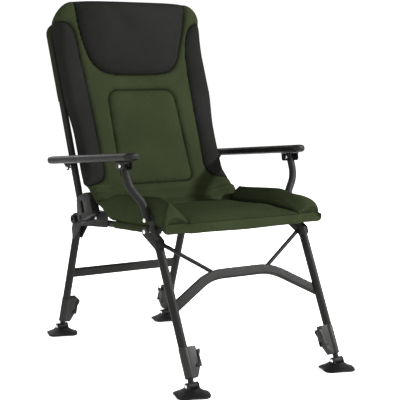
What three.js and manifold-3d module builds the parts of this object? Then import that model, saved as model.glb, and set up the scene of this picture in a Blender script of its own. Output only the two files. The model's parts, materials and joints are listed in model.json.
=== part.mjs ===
// Folding fishing chair: padded cushion, armrests, telescopic legs with clamps, and mud feet.
// Millimetres, +Z up. The sitter faces -Y. Left is -X, as seen from in front of the chair.
// The origin lies on the floor, in the middle of the four feet.
import * as THREE from 'three';
import { mergeVertices } from 'three/addons/utils/BufferGeometryUtils.js';
import Module from 'manifold-3d';

const wasm = await Module();
wasm.setup();

// Clearances
const gap = 0.3;
const slideGap = 0.5;
const overrun = 4;

// Tubes, sheet and fasteners
const legDiameter = 22;
const legWall = 1.6;
const innerLegDiameter = 16;
const barDiameter = 19;
const backTubeDiameter = 21;
const supportDiameter = 19;
const sheet = 2.2;
const rivetShank = 3;
const rivetHeadRadius = 5.2;
const rivetHeadHeight = 2.4;

// Pivots of the frame, in the plane seen from the side
const frontPivot = new THREE.Vector2(-200, 405);
const rearPivot = new THREE.Vector2(250, 389);
const backPivot = new THREE.Vector2(164, 404);
const armLink = new THREE.Vector2(-359, 31);
const backLink = new THREE.Vector2(54, 145);
const supportPivot = backPivot.clone().add(armLink);
const armRearPivot = backPivot.clone().add(backLink);
const armFrontPivot = armRearPivot.clone().add(armLink);

// Planes across the chair, from the seat bar outwards and inwards
const barX = 218.5;
const bracketInnerX = barX + barDiameter / 2 + gap;
const bracketOuterX = bracketInnerX + sheet;
const outerLegX = bracketOuterX + gap + sheet + gap + legDiameter / 2;
const outerPlateX = outerLegX + legDiameter / 2 + gap;
const rearLegX = barX - barDiameter / 2 - gap - sheet - gap - legDiameter / 2;
const armX = 284;

// Legs and feet
const footReach = 413;
const footPinHeight = 26;
const frontLegTop = new THREE.Vector2(-258, 364);
const rearLegTop = new THREE.Vector2(301, 348);
const frontFootPin = new THREE.Vector2(-footReach, footPinHeight);
const rearFootPin = new THREE.Vector2(footReach, footPinHeight);
const legStart = 22;
const legAboveTop = 20;
const innerLegAbove = 190;
const barrelRadius = 9.5;
const barrelWidth = 27;
const footPinRadius = 3.6;

// Clamp on the lower end of each leg
const clampStart = 19;
const clampLength = 83;
const clampWall = 2.2;
const clampBlockWidth = 20;
const clampBlockDepth = 19;
const clampBlockTaper = 13;
const leverThickness = 4.5;
const leverPinRise = 18;
const leverPinRadius = 2.4;
const leverHeel = 7;

// Mud foot
const footRadius = 54;
const footFlat = 37;
const footWave = 4;
const footRim = 4;
const footHubRadius = 21;
const footHubHeight = 14;
const footEarThickness = 4.5;
const footEarRadius = 8.5;
const footEarSpread = 13.6;
const footWaves = 4;
const footSides = 20;

// Cross bars and braces
const crossBarHeight = 22;
const rearCrossHeight = 24;
const crossBarDepth = 13;
const frontCrossMiddle = 287;
const frontCrossSet = 6;
const frontCrossEnd = 206;
const frontCrossBend = 103;
const frontCrossBendRadius = 42;
const rearCrossRise = 190;
const strutDiameter = 8;
const strutFootX = 95;
const strutTopX = 223;
const strutTopRise = 382;
const strutOffset = 12;

// Sockets and plates that hold the legs
const socketLength = 44;
const socketWall = 1.9;
const gussetRadius = 13;
const knobRadius = 13.5;
const knobHeight = 9;
const boltRadius = 4;
const barFrontOverhang = 15;
const barRearOverhang = 16;
const sleeveStart = -166;
const sleeveEnd = 18;
const sleeveWall = 2.4;

// Rear bracket and hinge knuckle
const bracketFrontY = 48;
const bracketHeight = 42;
const bracketDrop = 11;
const bracketEndRadius = 19;
const knuckleTop = 62;
const knuckleTopWidth = 56;
const knuckleFoot = -8;
const knuckleFront = -80;
const knuckleRear = 12;
const knuckleWindowLength = 38;
const knuckleWindowWidth = 15;

// Backrest frame, measured along the back tubes from the hinge
const backTubeX = bracketOuterX + gap + rivetHeadHeight + gap + sheet + gap + backTubeDiameter / 2;
const backFrameTop = 632;
const backFrameCorner = 75;
const backTubeBelow = 14;

// Armrests
const armWidth = 44;
const armThickness = 23;
const armPivotDrop = supportDiameter / 2 + slideGap + sheet + gap;
const armTipReach = 57;
const armRearReach = 72;
const armEdge = 5;
const armEndRadius = 19;
const armBracketLength = 50;
const armBracketHalfWidth = 13;
const armLugLength = 42;
const armLugThickness = 4;
const armLugRadius = 8;
const supportStraight = 42;
const supportSlant = 98;

// Cushion: heights are measured from the frame that each part lies on
const seatFront = -312;
const seatRear = 16;
const seatHalfWidth = bracketInnerX - gap;
const seatFrontHalfWidth = 258;
const seatWideningStart = -238;
const seatWideningEnd = -292;
const seatPanelRearHalf = 194;
const seatPanelMiddleHalf = 176;
const seatPanelFrontHalf = 152;
const seatMiddle = -110;
const seatUnder = barDiameter / 2 + gap + sleeveWall + gap;
const seatSeamHeight = 41;
const seatPanelCrown = 9;
const seatRearBolsterHeight = 68;
const seatBolsterHeight = 84;
const seatFrontUnder = 4;
const seatFrontSeamHeight = 34;
const seatFrontBolsterHeight = 48;
const seatNose = 26;
const backPadStart = 130;
const backPadEnd = 646;
const backPadHalfWidth = 257;
const backPanelHalf = 190;
const pocketCloth = 3;
const backUnder = backTubeDiameter / 2 + gap + pocketCloth + gap;
const backSeamHeight = 46;
const backPanelCrown = 13;
const backBolsterHeight = 64;
const backEndRounding = 24;
const waistHalfWidth = bracketInnerX - gap;
const waistPanelHalf = 190;
const waistSeamHeight = 40;
const waistCrown = 8;
const waistBolsterHeight = 58;
const pillowStart = 420;
const pillowEnd = 656;
const pillowFootHalfWidth = 150;
const pillowTopHalfWidth = 202;
const pillowFootHeight = 70;
const pillowTopHeight = 116;
const pillowRounding = 26;
const pocketStart = 362;

// How the cushions are rounded: a small power gives a square side, and one near 1 an oval
const noseShare = 0.8;
const pillowSides = 24;
const pillowSidePower = 0.45;
const pillowFacePower = 0.7;
const pillowEndPower = 0.5;
const pillowEndShare = 0.94;
const waistBlend = 0.4;

// Colours and surfaces
const coat = { color: 0x3d3d3b, roughness: 0.5, metalness: 0.7 };
const plastic = { color: 0x1f1f1e, roughness: 0.55, metalness: 0 };
const zinc = { color: 0xc9cac8, roughness: 0.3, metalness: 1 };
const greenCloth = { color: 0x3d4530, roughness: 0.9, metalness: 0 };
const greyCloth = { color: 0x333331, roughness: 0.9, metalness: 0 };
const rubber = { color: 0x171716, roughness: 0.7, metalness: 0 };

const sides = [{ name: 'left', sign: -1 }, { name: 'right', sign: 1 }];
const roundSides = 16;
const pinSides = 10;
const arcSteps = 8;
const endSteps = 4;
const cushionSteps = 14;
const bendSteps = 5;

// Solids and their joins and cuts

function solidOf(geometry) {
  const plain = geometry.clone();
  plain.deleteAttribute('normal');
  plain.deleteAttribute('uv');
  const merged = mergeVertices(plain);
  const corners = [];
  const index = merged.index.array;
  for (let i = 0; i < index.length; i += 3) {
    const [a, b, c] = [index[i], index[i + 1], index[i + 2]];
    if (a !== b && b !== c && c !== a) {
      corners.push(a, b, c);
    }
  }
  return new wasm.Manifold(new wasm.Mesh({
    numProp: 3,
    vertProperties: new Float32Array(merged.attributes.position.array),
    triVerts: new Uint32Array(corners),
  }));
}

function geometryOf(solid) {
  const mesh = solid.getMesh();
  const geometry = new THREE.BufferGeometry();
  geometry.setAttribute('position', new THREE.BufferAttribute(mesh.vertProperties, 3));
  geometry.setIndex(new THREE.BufferAttribute(mesh.triVerts, 1));
  geometry.computeVertexNormals();
  return geometry;
}

function join(...pieces) {
  return geometryOf(pieces.map(solidOf).reduce((sum, piece) => sum.add(piece)));
}

function cut(piece, ...tools) {
  return geometryOf(tools.map(solidOf).reduce((rest, tool) => rest.subtract(tool), solidOf(piece)));
}

// A mirror image across the plane x = 0, with its faces still pointing out
function mirrored(geometry) {
  const copy = geometry.index ? geometry.toNonIndexed() : geometry.clone();
  copy.deleteAttribute('uv');
  const positions = copy.attributes.position;
  for (let i = 0; i < positions.count; i += 3) {
    const corners = [0, 2, 1].map((k) => new THREE.Vector3().fromBufferAttribute(positions, i + k));
    corners.forEach((corner, k) => positions.setXYZ(i + k, -corner.x, corner.y, corner.z));
  }
  copy.computeVertexNormals();
  return copy;
}

// Basic shapes

// A cylinder across the chair, between two places on X, around a point of the side view
function crossPin(fromX, toX, radius, at, segments = pinSides) {
  const geometry = new THREE.CylinderGeometry(radius, radius, Math.abs(toX - fromX), segments);
  geometry.rotateZ(Math.PI / 2);
  geometry.translate((fromX + toX) / 2, at.x, at.y);
  return geometry;
}

// A sheet with the given outline in the side view, from one place on X outwards
function sideSheet(outline, fromX, thickness) {
  const shape = new THREE.Shape(outline);
  const geometry = new THREE.ExtrudeGeometry(shape, { depth: thickness, bevelEnabled: false });
  geometry.applyMatrix4(new THREE.Matrix4().makeBasis(
    new THREE.Vector3(0, 1, 0),
    new THREE.Vector3(0, 0, 1),
    new THREE.Vector3(1, 0, 0),
  ));
  geometry.translate(fromX, 0, 0);
  return geometry;
}

// Points on an arc of the side view
function arc(center, radius, fromAngle, toAngle, steps) {
  const points = [];
  for (let i = 0; i <= steps; i += 1) {
    const angle = fromAngle + (toAngle - fromAngle) * i / steps;
    points.push(new THREE.Vector2(center.x + radius * Math.cos(angle), center.y + radius * Math.sin(angle)));
  }
  return points;
}

// The outline round two circles of the side view, like a strap pulled over two pins
function strap(first, firstRadius, second, secondRadius, steps = arcSteps) {
  const direction = Math.atan2(second.y - first.y, second.x - first.x);
  const lean = Math.asin((firstRadius - secondRadius) / first.distanceTo(second));
  const turn = Math.PI / 2 - lean;
  return [
    ...arc(first, firstRadius, direction + turn, direction + 2 * Math.PI - turn, steps),
    ...arc(second, secondRadius, direction - turn, direction + turn, steps),
  ];
}

// A box between two corners
function box(from, to) {
  const size = to.clone().sub(from);
  const geometry = new THREE.BoxGeometry(size.x, size.y, size.z);
  geometry.translate((from.x + to.x) / 2, (from.y + to.y) / 2, (from.z + to.z) / 2);
  return geometry;
}

// A closed turned piece about Z, from a profile of [radius, height] points
function turned(profile, segments = roundSides) {
  const geometry = new THREE.LatheGeometry(profile.map(([r, h]) => new THREE.Vector2(r, h)), segments);
  geometry.rotateX(Math.PI / 2);
  return geometry;
}

// A rod along Z
function rod(radius, fromZ, toZ, segments = roundSides) {
  return turned([[0, fromZ], [radius, fromZ], [radius, toZ], [0, toZ]], segments);
}

// A pipe along Z with an open bore
function pipe(outerRadius, innerRadius, fromZ, toZ, segments = roundSides) {
  return turned([
    [innerRadius, fromZ],
    [outerRadius, fromZ],
    [outerRadius, toZ],
    [innerRadius, toZ],
    [innerRadius, fromZ],
  ], segments);
}

// A path in one plane through corner points, with each inner corner rounded
class BentPath extends THREE.Curve {
  constructor(corners, planeNormal, bend, steps = bendSteps) {
    super();
    this.planeNormal = planeNormal.clone().normalize();
    this.places = [];
    const last = corners.length - 1;
    this.add(corners[0], corners[1].clone().sub(corners[0]));
    for (let i = 1; i < last; i += 1) {
      const back = corners[i - 1].clone().sub(corners[i]);
      const ahead = corners[i + 1].clone().sub(corners[i]);
      const reach = Math.min(bend, back.length() / 2, ahead.length() / 2);
      const curve = new THREE.QuadraticBezierCurve3(
        corners[i].clone().add(back.setLength(reach)),
        corners[i],
        corners[i].clone().add(ahead.setLength(reach)),
      );
      for (let k = 0; k <= steps; k += 1) {
        this.add(curve.getPoint(k / steps), curve.getTangent(k / steps));
      }
    }
    this.add(corners[last], corners[last].clone().sub(corners[last - 1]));
  }

  add(point, direction) {
    this.places.push({ point: point.clone(), tangent: direction.clone().normalize() });
  }

  get steps() {
    return this.places.length - 1;
  }

  getPointAt(share) {
    return this.places[Math.round(share * this.steps)].point.clone();
  }

  computeFrenetFrames() {
    return {
      tangents: this.places.map((place) => place.tangent),
      normals: this.places.map((place) => this.planeNormal.clone().cross(place.tangent)),
      binormals: this.places.map(() => this.planeNormal),
    };
  }
}

// A bar of round or oval section along a path: its height lies in the path's plane
function barAlong(path, halfHeight, halfDepth, segments = roundSides) {
  const section = new THREE.Shape();
  section.absellipse(0, 0, halfHeight, halfDepth, 0, 2 * Math.PI);
  return new THREE.ExtrudeGeometry(section, {
    steps: path.steps,
    curveSegments: segments / 2,
    extrudePath: path,
    bevelEnabled: false,
  });
}

// A closed skin through rings of equally many points, with a fan over each end
function loft(rings) {
  const count = rings[0].length;
  const vertices = rings.flat();
  const middleOf = (ring) => ring.reduce((sum, p) => sum.add(p), new THREE.Vector3()).divideScalar(count);
  vertices.push(middleOf(rings[0]), middleOf(rings[rings.length - 1]));
  const index = [];
  for (let k = 0; k < count; k += 1) {
    const next = (k + 1) % count;
    const last = (rings.length - 1) * count;
    index.push(vertices.length - 2, next, k);
    index.push(vertices.length - 1, last + k, last + next);
    for (let i = 0; i < rings.length - 1; i += 1) {
      const row = i * count;
      index.push(row + k, row + next, row + count + next);
      index.push(row + k, row + count + next, row + count + k);
    }
  }
  const geometry = new THREE.BufferGeometry();
  const numbers = vertices.flatMap((p) => [p.x, p.y, p.z]);
  geometry.setAttribute('position', new THREE.Float32BufferAttribute(numbers, 3));
  geometry.setIndex(index);
  geometry.computeVertexNormals();
  return geometry;
}

// A signed power, which squares off an ellipse
function squared(value, power) {
  return Math.sign(value) * Math.abs(value) ** power;
}

// Building the scene graph

const chair = new THREE.Group();

function addPiece(parent, name, geometry, look) {
  const mesh = new THREE.Mesh(geometry, new THREE.MeshStandardMaterial(look));
  mesh.name = name;
  parent.add(mesh);
  return mesh;
}

// One piece on each side: the geometry is drawn for the right side and mirrored for the left
function addPair(parent, name, geometry, look) {
  for (const side of sides) {
    const own = side.sign < 0 ? mirrored(geometry) : geometry;
    addPiece(parent, `${name}_${side.name}`, own, look);
  }
}

// A group whose Z axis runs from one point of the side view towards another
function leaningGroup(from, to) {
  const group = new THREE.Group();
  group.position.set(0, from.x, from.y);
  group.rotation.x = -Math.atan2(to.x - from.x, to.y - from.y);
  chair.add(group);
  return group;
}

// The place of a side view point in a leaning group, as (along Y, along Z)
function placeIn(from, to, point) {
  const angle = Math.atan2(to.x - from.x, to.y - from.y);
  const away = point.clone().sub(from);
  return new THREE.Vector2(
    away.x * Math.cos(angle) - away.y * Math.sin(angle),
    away.x * Math.sin(angle) + away.y * Math.cos(angle),
  );
}

// A point on the seat bars' centre line at a place on Y
function onBar(y) {
  const share = (y - frontPivot.x) / (rearPivot.x - frontPivot.x);
  return new THREE.Vector2(y, frontPivot.y + (rearPivot.y - frontPivot.y) * share);
}

// Seat frame

function seatBar() {
  const front = onBar(frontPivot.x - barFrontOverhang);
  const rear = onBar(rearPivot.x + barRearOverhang);
  const radius = barDiameter / 2;
  const geometry = new THREE.CylinderGeometry(radius, radius, front.distanceTo(rear), roundSides);
  geometry.rotateX(Math.atan2(rear.y - front.y, rear.x - front.x));
  geometry.translate(barX, (front.x + rear.x) / 2, (front.y + rear.y) / 2);
  const reach = barDiameter / 2 + overrun;
  const frontHole = crossPin(barX - reach, barX + reach, rivetShank + gap, frontPivot);
  const rearHole = crossPin(barX - reach, barX + reach, boltRadius + gap, rearPivot);
  return cut(geometry, frontHole, rearHole);
}

function seatSleeve() {
  const start = onBar(sleeveStart);
  const end = onBar(sleeveEnd);
  const inner = barDiameter / 2 + gap;
  const geometry = pipe(inner + sleeveWall, inner, 0, start.distanceTo(end));
  geometry.rotateX(-Math.PI / 2 + Math.atan2(end.y - start.y, end.x - start.x));
  geometry.translate(barX, start.x, start.y);
  return geometry;
}

function frontBracket() {
  const outline = strap(frontPivot, gussetRadius, supportPivot, gussetRadius);
  const plate = sideSheet(outline, bracketInnerX, sheet);
  const from = bracketInnerX - overrun;
  const to = bracketOuterX + overrun;
  return cut(
    plate,
    crossPin(from, to, rivetShank + gap, frontPivot),
    crossPin(from, to, rivetShank + gap, supportPivot),
  );
}

function rearBracketTop() {
  return onBar(bracketFrontY).y - bracketDrop + bracketHeight;
}

function rearBracketOutline() {
  const low = onBar(bracketFrontY);
  const bottom = low.y - bracketDrop;
  const corner = bracketDrop / 2;
  const top = rearBracketTop();
  return [
    new THREE.Vector2(bracketFrontY, bottom + corner),
    new THREE.Vector2(bracketFrontY + corner, bottom),
    ...arc(rearPivot, bracketEndRadius, -Math.PI / 2, Math.PI / 3, arcSteps),
    new THREE.Vector2(backPivot.x + bracketEndRadius, top - corner),
    new THREE.Vector2(backPivot.x, top),
    new THREE.Vector2(bracketFrontY + corner, top),
    new THREE.Vector2(bracketFrontY, top - corner),
  ];
}

// A side plate with a flange that turns inwards over the bar
function rearBracket() {
  const plate = sideSheet(rearBracketOutline(), bracketInnerX, sheet);
  const top = rearBracketTop();
  const corner = bracketDrop / 2;
  const flange = box(
    new THREE.Vector3(barX - barDiameter / 2, bracketFrontY + corner, top - sheet),
    new THREE.Vector3(bracketInnerX + sheet / 2, backPivot.x - bracketEndRadius, top),
  );
  const from = bracketInnerX - overrun;
  const to = bracketOuterX + overrun;
  const drilled = cut(
    join(plate, flange),
    crossPin(from, to, boltRadius + gap, backPivot),
    crossPin(from, to, boltRadius + gap, rearPivot),
  );
  return join(drilled, rivet(bracketInnerX, bracketOuterX - gap, bracketRivetPlace()));
}

function bracketRivetPlace() {
  const along = (bracketFrontY + backPivot.x) / 2;
  return new THREE.Vector2(along, onBar(along).y + bracketDrop + rivetHeadRadius / 2);
}

// A rivet across the chair with a head at its outer end
function rivet(fromX, seatX, at) {
  const shank = crossPin(fromX, seatX + rivetHeadHeight / 2, rivetShank, at);
  const dome = turned(domeProfile(rivetHeadRadius, rivetHeadHeight), pinSides);
  dome.rotateY(Math.PI / 2);
  dome.translate(seatX, at.x, at.y);
  return join(shank, dome);
}

function domeProfile(radius, height) {
  const steps = 3;
  const points = [[0, 0], [radius, 0]];
  for (let i = 1; i < steps; i += 1) {
    const angle = Math.PI / 2 * i / steps;
    points.push([radius * Math.cos(angle), height * Math.sin(angle)]);
  }
  points.push([0, height]);
  return points;
}

function addSeatFrame() {
  addPair(chair, 'seat_bar', seatBar(), coat);
  addPair(chair, 'seat_sleeve', seatSleeve(), greenCloth);
  addPair(chair, 'front_bracket', frontBracket(), coat);
  addPair(chair, 'rear_bracket', rearBracket(), coat);
  const barInner = barX - barDiameter / 2;
  addPair(chair, 'front_leg_rivet', rivet(barInner, outerPlateX + sheet + gap, frontPivot), zinc);
  const supportOuter = outerLegX + supportDiameter / 2 + gap;
  addPair(chair, 'support_rivet', rivet(bracketInnerX, supportOuter, supportPivot), zinc);
  addPair(chair, 'rear_leg_bolt', rearLegBolt(), plastic);
  addPair(chair, 'back_hinge_bolt', backHingeBolt(), coat);
}

// The pivot bolt of the rear legs, with a round cap on its outer end
function rearLegBolt() {
  const innerEnd = rearLegX - legDiameter / 2 - gap - sheet;
  const seatX = bracketOuterX + gap;
  const shank = crossPin(innerEnd, seatX + knobHeight / 2, boltRadius, rearPivot);
  const profile = [
    [0, 0],
    [knobRadius - sheet, 0],
    [knobRadius, sheet],
    [knobRadius, knobHeight - sheet],
    [knobRadius - sheet, knobHeight],
    [boltRadius, knobHeight],
    [boltRadius, knobHeight - sheet],
    [0, knobHeight - sheet],
  ];
  const cap = turned(profile, roundSides);
  cap.rotateY(Math.PI / 2);
  cap.translate(seatX, rearPivot.x, rearPivot.y);
  return join(shank, cap);
}

function backHingeBolt() {
  const seatX = backTubeX + backTubeDiameter / 2 + gap + sheet + gap;
  const shank = crossPin(bracketInnerX, seatX + rivetHeadHeight / 2, boltRadius, backPivot);
  const head = turned(domeProfile(boltRadius * 2, rivetHeadHeight));
  head.rotateY(Math.PI / 2);
  head.translate(seatX, backPivot.x, backPivot.y);
  return join(shank, head);
}

// Leg frames. Each leaning group has its origin at the foot pin and Z up along the leg.

function legTube(x, height) {
  const geometry = pipe(legDiameter / 2, legDiameter / 2 - legWall, legStart, height);
  geometry.translate(x, 0, 0);
  return geometry;
}

// The socket round a leg's top and two side plates that reach to the pivot
function legGusset(x, topRise, pivot) {
  const bore = legDiameter / 2 + gap;
  const innerFace = x - legDiameter / 2 - gap - sheet;
  const outerFace = x + legDiameter / 2 + gap;
  const socket = pipe(bore + socketWall, bore, topRise - socketLength, topRise);
  socket.translate(x, 0, 0);
  const sign = Math.sign(pivot.x);
  const away = Math.PI / 2;
  const near = socketWall + bore;
  const outline = [
    new THREE.Vector2(-sign * near, topRise - socketLength / 2),
    new THREE.Vector2(-sign * near, topRise),
    ...arc(pivot, gussetRadius, away + sign * Math.PI / 3, away - sign * 3 * Math.PI / 4, arcSteps),
    new THREE.Vector2(sign * near, topRise - socketLength),
    new THREE.Vector2(0, topRise - socketLength),
  ];
  const plates = [innerFace, outerFace].map((face) => sideSheet(outline, face, sheet));
  const inside = rod(bore, topRise - socketLength - overrun, topRise + overrun);
  inside.translate(x, 0, 0);
  const hole = crossPin(innerFace - overrun, outerFace + sheet + overrun, boltRadius + gap, pivot);
  return cut(join(socket, ...plates), inside, hole);
}

// The plastic clamp: a sleeve round the leg and a block on its inner side
function clampBody(x) {
  const bore = legDiameter / 2 + gap;
  const outer = bore + clampWall;
  const end = clampStart + clampLength;
  const sleeve = turned([
    [0, clampStart],
    [outer - clampWall, clampStart],
    [outer, clampStart + clampWall],
    [outer, end - clampWall],
    [outer - clampWall, end],
    [0, end],
  ]);
  sleeve.translate(x, 0, 0);
  const blockInner = x - outer - clampBlockWidth;
  const block = new THREE.Shape([
    new THREE.Vector2(x, clampStart + clampWall),
    new THREE.Vector2(x, end),
    new THREE.Vector2(blockInner, end),
    new THREE.Vector2(blockInner, clampStart + clampBlockTaper * 2),
    new THREE.Vector2(blockInner + clampBlockTaper, clampStart),
    new THREE.Vector2(x, clampStart),
  ]);
  const plate = new THREE.ExtrudeGeometry(block, { depth: clampBlockDepth, bevelEnabled: false });
  plate.rotateX(Math.PI / 2);
  plate.translate(0, clampBlockDepth / 2, 0);
  const stepDown = rod(bore, legStart, end + overrun);
  stepDown.translate(x, 0, 0);
  const throat = rod(innerLegDiameter / 2 + slideGap, clampStart - overrun, end);
  throat.translate(x, 0, 0);
  const pin = leverPinPlace(x);
  const pinHole = leverPin(pin, leverPinRadius + gap, clampBlockDepth + overrun);
  return cut(join(sleeve, plate), stepDown, throat, pinHole);
}

function leverPinPlace(x) {
  const blockInner = x - legDiameter / 2 - gap - clampWall - clampBlockWidth;
  return new THREE.Vector2(blockInner + clampBlockTaper / 2, clampStart + clampBlockTaper + leverPinRise);
}

function leverPin(at, radius, length) {
  const geometry = new THREE.CylinderGeometry(radius, radius, length, roundSides / 2);
  geometry.translate(at.x, 0, at.y);
  return geometry;
}

// The cam lever: two cheeks on the pin and a thumb plate along the block's inner face
function camLever(x) {
  const pin = leverPinPlace(x);
  const blockInner = x - legDiameter / 2 - gap - clampWall - clampBlockWidth;
  const halfDepth = clampBlockDepth / 2 + gap;
  const plateOuter = blockInner - gap - leverThickness;
  const low = pin.y - leverPinRadius * 2;
  const high = clampStart + clampLength - clampBlockTaper;
  const outline = new THREE.Shape([
    new THREE.Vector2(plateOuter, low),
    new THREE.Vector2(pin.x + leverPinRadius, low),
    new THREE.Vector2(pin.x + leverPinRadius * 2, pin.y),
    new THREE.Vector2(pin.x + leverPinRadius, pin.y + leverPinRadius * 2),
    new THREE.Vector2(blockInner, pin.y + leverPinRadius * 3),
    new THREE.Vector2(blockInner - gap, high),
    new THREE.Vector2(plateOuter - leverThickness, high + leverThickness),
    new THREE.Vector2(plateOuter - leverThickness, high - leverThickness),
    new THREE.Vector2(plateOuter, high - leverThickness * 3),
  ]);
  const depth = clampBlockDepth + 2 * (gap + sheet);
  const body = new THREE.ExtrudeGeometry(outline, { depth, bevelEnabled: false });
  body.rotateX(Math.PI / 2);
  body.translate(0, depth / 2, 0);
  const hollow = box(
    new THREE.Vector3(blockInner - gap, -halfDepth, clampStart - overrun),
    new THREE.Vector3(x, halfDepth, clampStart + clampLength + overrun),
  );
  const heel = box(
    new THREE.Vector3(plateOuter - overrun, -halfDepth, clampStart - overrun),
    new THREE.Vector3(blockInner, halfDepth, pin.y + leverHeel),
  );
  return join(cut(body, hollow, heel), leverPin(pin, leverPinRadius, depth));
}

function innerLeg(x) {
  const shaft = rod(innerLegDiameter / 2, 0, innerLegAbove);
  const barrel = new THREE.CylinderGeometry(barrelRadius, barrelRadius, barrelWidth, roundSides);
  barrel.rotateZ(Math.PI / 2);
  const whole = join(shaft, barrel);
  whole.translate(x, 0, 0);
  const holeRadius = footPinRadius + gap;
  const hole = new THREE.CylinderGeometry(holeRadius, holeRadius, barrelWidth + overrun, roundSides);
  hole.rotateZ(Math.PI / 2);
  hole.translate(x, 0, 0);
  return cut(whole, hole);
}

// The mud foot: a dish with a wavy rim, two ears and the pin between them
function mudFoot() {
  const ring = (radius, height, wave) => {
    const points = [];
    for (let i = 0; i < footSides; i += 1) {
      const angle = 2 * Math.PI * i / footSides;
      const lift = wave * (1 - Math.cos(footWaves * angle)) / 2;
      points.push(new THREE.Vector3(radius * Math.cos(angle), radius * Math.sin(angle), height + lift));
    }
    return points;
  };
  const dish = loft([
    ring(footFlat, 0, 0),
    ring(footRadius, 0, footWave),
    ring(footRadius, footRim, footWave),
    ring(footFlat, footRim * 2, 0),
    ring(footHubRadius, footHubHeight, 0),
  ]);
  const earInner = barrelWidth / 2 + slideGap;
  const pinPlace = new THREE.Vector2(0, footPinHeight);
  const ears = [];
  for (const from of [-earInner - footEarThickness, earInner]) {
    const outline = [
      new THREE.Vector2(-footEarSpread, footRim * 2),
      new THREE.Vector2(footEarSpread, footRim * 2),
      ...arc(pinPlace, footEarRadius, 0, Math.PI, arcSteps),
    ];
    ears.push(sideSheet(outline, from, footEarThickness));
  }
  const pinEnd = earInner + footEarThickness + gap;
  const pin = crossPin(-pinEnd, pinEnd, footPinRadius, pinPlace);
  const well = crossPin(-earInner, earInner, barrelRadius + footEarThickness, pinPlace, roundSides);
  return join(cut(dish, well), ...ears, pin);
}

function addLegEnd(group, x, name, pin) {
  for (const side of sides) {
    const own = (geometry) => (side.sign < 0 ? mirrored(geometry) : geometry);
    addPiece(group, `${name}_clamp_${side.name}`, own(clampBody(x)), plastic);
    addPiece(group, `${name}_clamp_lever_${side.name}`, own(camLever(x)), plastic);
    addPiece(group, `${name}_inner_leg_${side.name}`, own(innerLeg(x)), coat);
    const foot = addPiece(chair, `${name}_mud_foot_${side.name}`, mudFoot(), rubber);
    foot.position.set(side.sign * x, pin.x, 0);
  }
}

// The front cross bar rises to a straight middle between two bends
function frontCrossBar() {
  const end = outerLegX;
  const path = new BentPath([
    new THREE.Vector3(-end, frontCrossSet, frontCrossEnd),
    new THREE.Vector3(-frontCrossBend, frontCrossSet, frontCrossMiddle),
    new THREE.Vector3(frontCrossBend, frontCrossSet, frontCrossMiddle),
    new THREE.Vector3(end, frontCrossSet, frontCrossEnd),
  ], new THREE.Vector3(0, 1, 0), frontCrossBendRadius);
  const bar = barAlong(path, crossBarHeight / 2, crossBarDepth / 2);
  return cut(bar, ...legTrims(outerLegX));
}

// What a leg and all that lies outside it take away from a cross bar
function legTrims(x) {
  const radius = legDiameter / 2 + gap;
  const reach = crossBarHeight;
  return sides.map(({ sign }) => {
    const around = rod(radius, 0, frontCrossMiddle, roundSides * 2);
    around.translate(sign * x, 0, 0);
    const outside = box(new THREE.Vector3(0, -reach, 0), new THREE.Vector3(reach, reach, frontCrossMiddle));
    outside.translate(sign > 0 ? x : -x - reach, 0, 0);
    return geometryOf(solidOf(around).add(solidOf(outside)));
  });
}

function rearCrossBar() {
  const path = new BentPath([
    new THREE.Vector3(-rearLegX, 0, rearCrossRise),
    new THREE.Vector3(rearLegX, 0, rearCrossRise),
  ], new THREE.Vector3(0, 1, 0), 0);
  return cut(barAlong(path, rearCrossHeight / 2, crossBarDepth / 2), ...legTrims(rearLegX));
}

// A thin brace from the front cross bar's bend up to the leg's gusset
function frontStrut() {
  const path = new BentPath([
    new THREE.Vector3(strutFootX, frontCrossSet, frontCrossMiddle + crossBarHeight / 2 + gap),
    new THREE.Vector3(strutTopX, strutOffset, strutTopRise),
  ], new THREE.Vector3(0, 1, 0), 0);
  return barAlong(path, strutDiameter / 2, strutDiameter / 2, pinSides);
}

function addFrontLegs() {
  const group = leaningGroup(frontFootPin, frontLegTop);
  const topRise = frontFootPin.distanceTo(frontLegTop) + legAboveTop;
  const pivot = placeIn(frontFootPin, frontLegTop, frontPivot);
  addPair(group, 'front_leg', legTube(outerLegX, topRise), coat);
  addPair(group, 'front_gusset', legGusset(outerLegX, topRise, pivot), coat);
  addPiece(group, 'front_cross_bar', frontCrossBar(), coat);
  addPair(group, 'front_strut', frontStrut(), coat);
  addLegEnd(group, outerLegX, 'front', frontFootPin);
}

function addRearLegs() {
  const group = leaningGroup(rearFootPin, rearLegTop);
  const topRise = rearFootPin.distanceTo(rearLegTop) + legAboveTop;
  const pivot = placeIn(rearFootPin, rearLegTop, rearPivot);
  addPair(group, 'rear_leg', legTube(rearLegX, topRise), coat);
  addPair(group, 'rear_gusset', legGusset(rearLegX, topRise, pivot), coat);
  addPiece(group, 'rear_cross_bar', rearCrossBar(), coat);
  addLegEnd(group, rearLegX, 'rear', rearFootPin);
}

// Backrest. The back tubes run from the hinge through the armrests' rear pivots.

const backDirection = backLink.clone().normalize();
const backForward = new THREE.Vector2(-backDirection.y, backDirection.x);

// The side view point at a distance along the back tubes and a height in front of them
function onBack(along, height) {
  return backPivot.clone().addScaledVector(backDirection, along).addScaledVector(backForward, height);
}

function backFramePath(fromAlong) {
  const low = onBack(fromAlong, 0);
  const high = onBack(backFrameTop, 0);
  return new BentPath([
    new THREE.Vector3(-backTubeX, low.x, low.y),
    new THREE.Vector3(-backTubeX, high.x, high.y),
    new THREE.Vector3(backTubeX, high.x, high.y),
    new THREE.Vector3(backTubeX, low.x, low.y),
  ], new THREE.Vector3(0, backForward.x, backForward.y), backFrameCorner, bendSteps);
}

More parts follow.
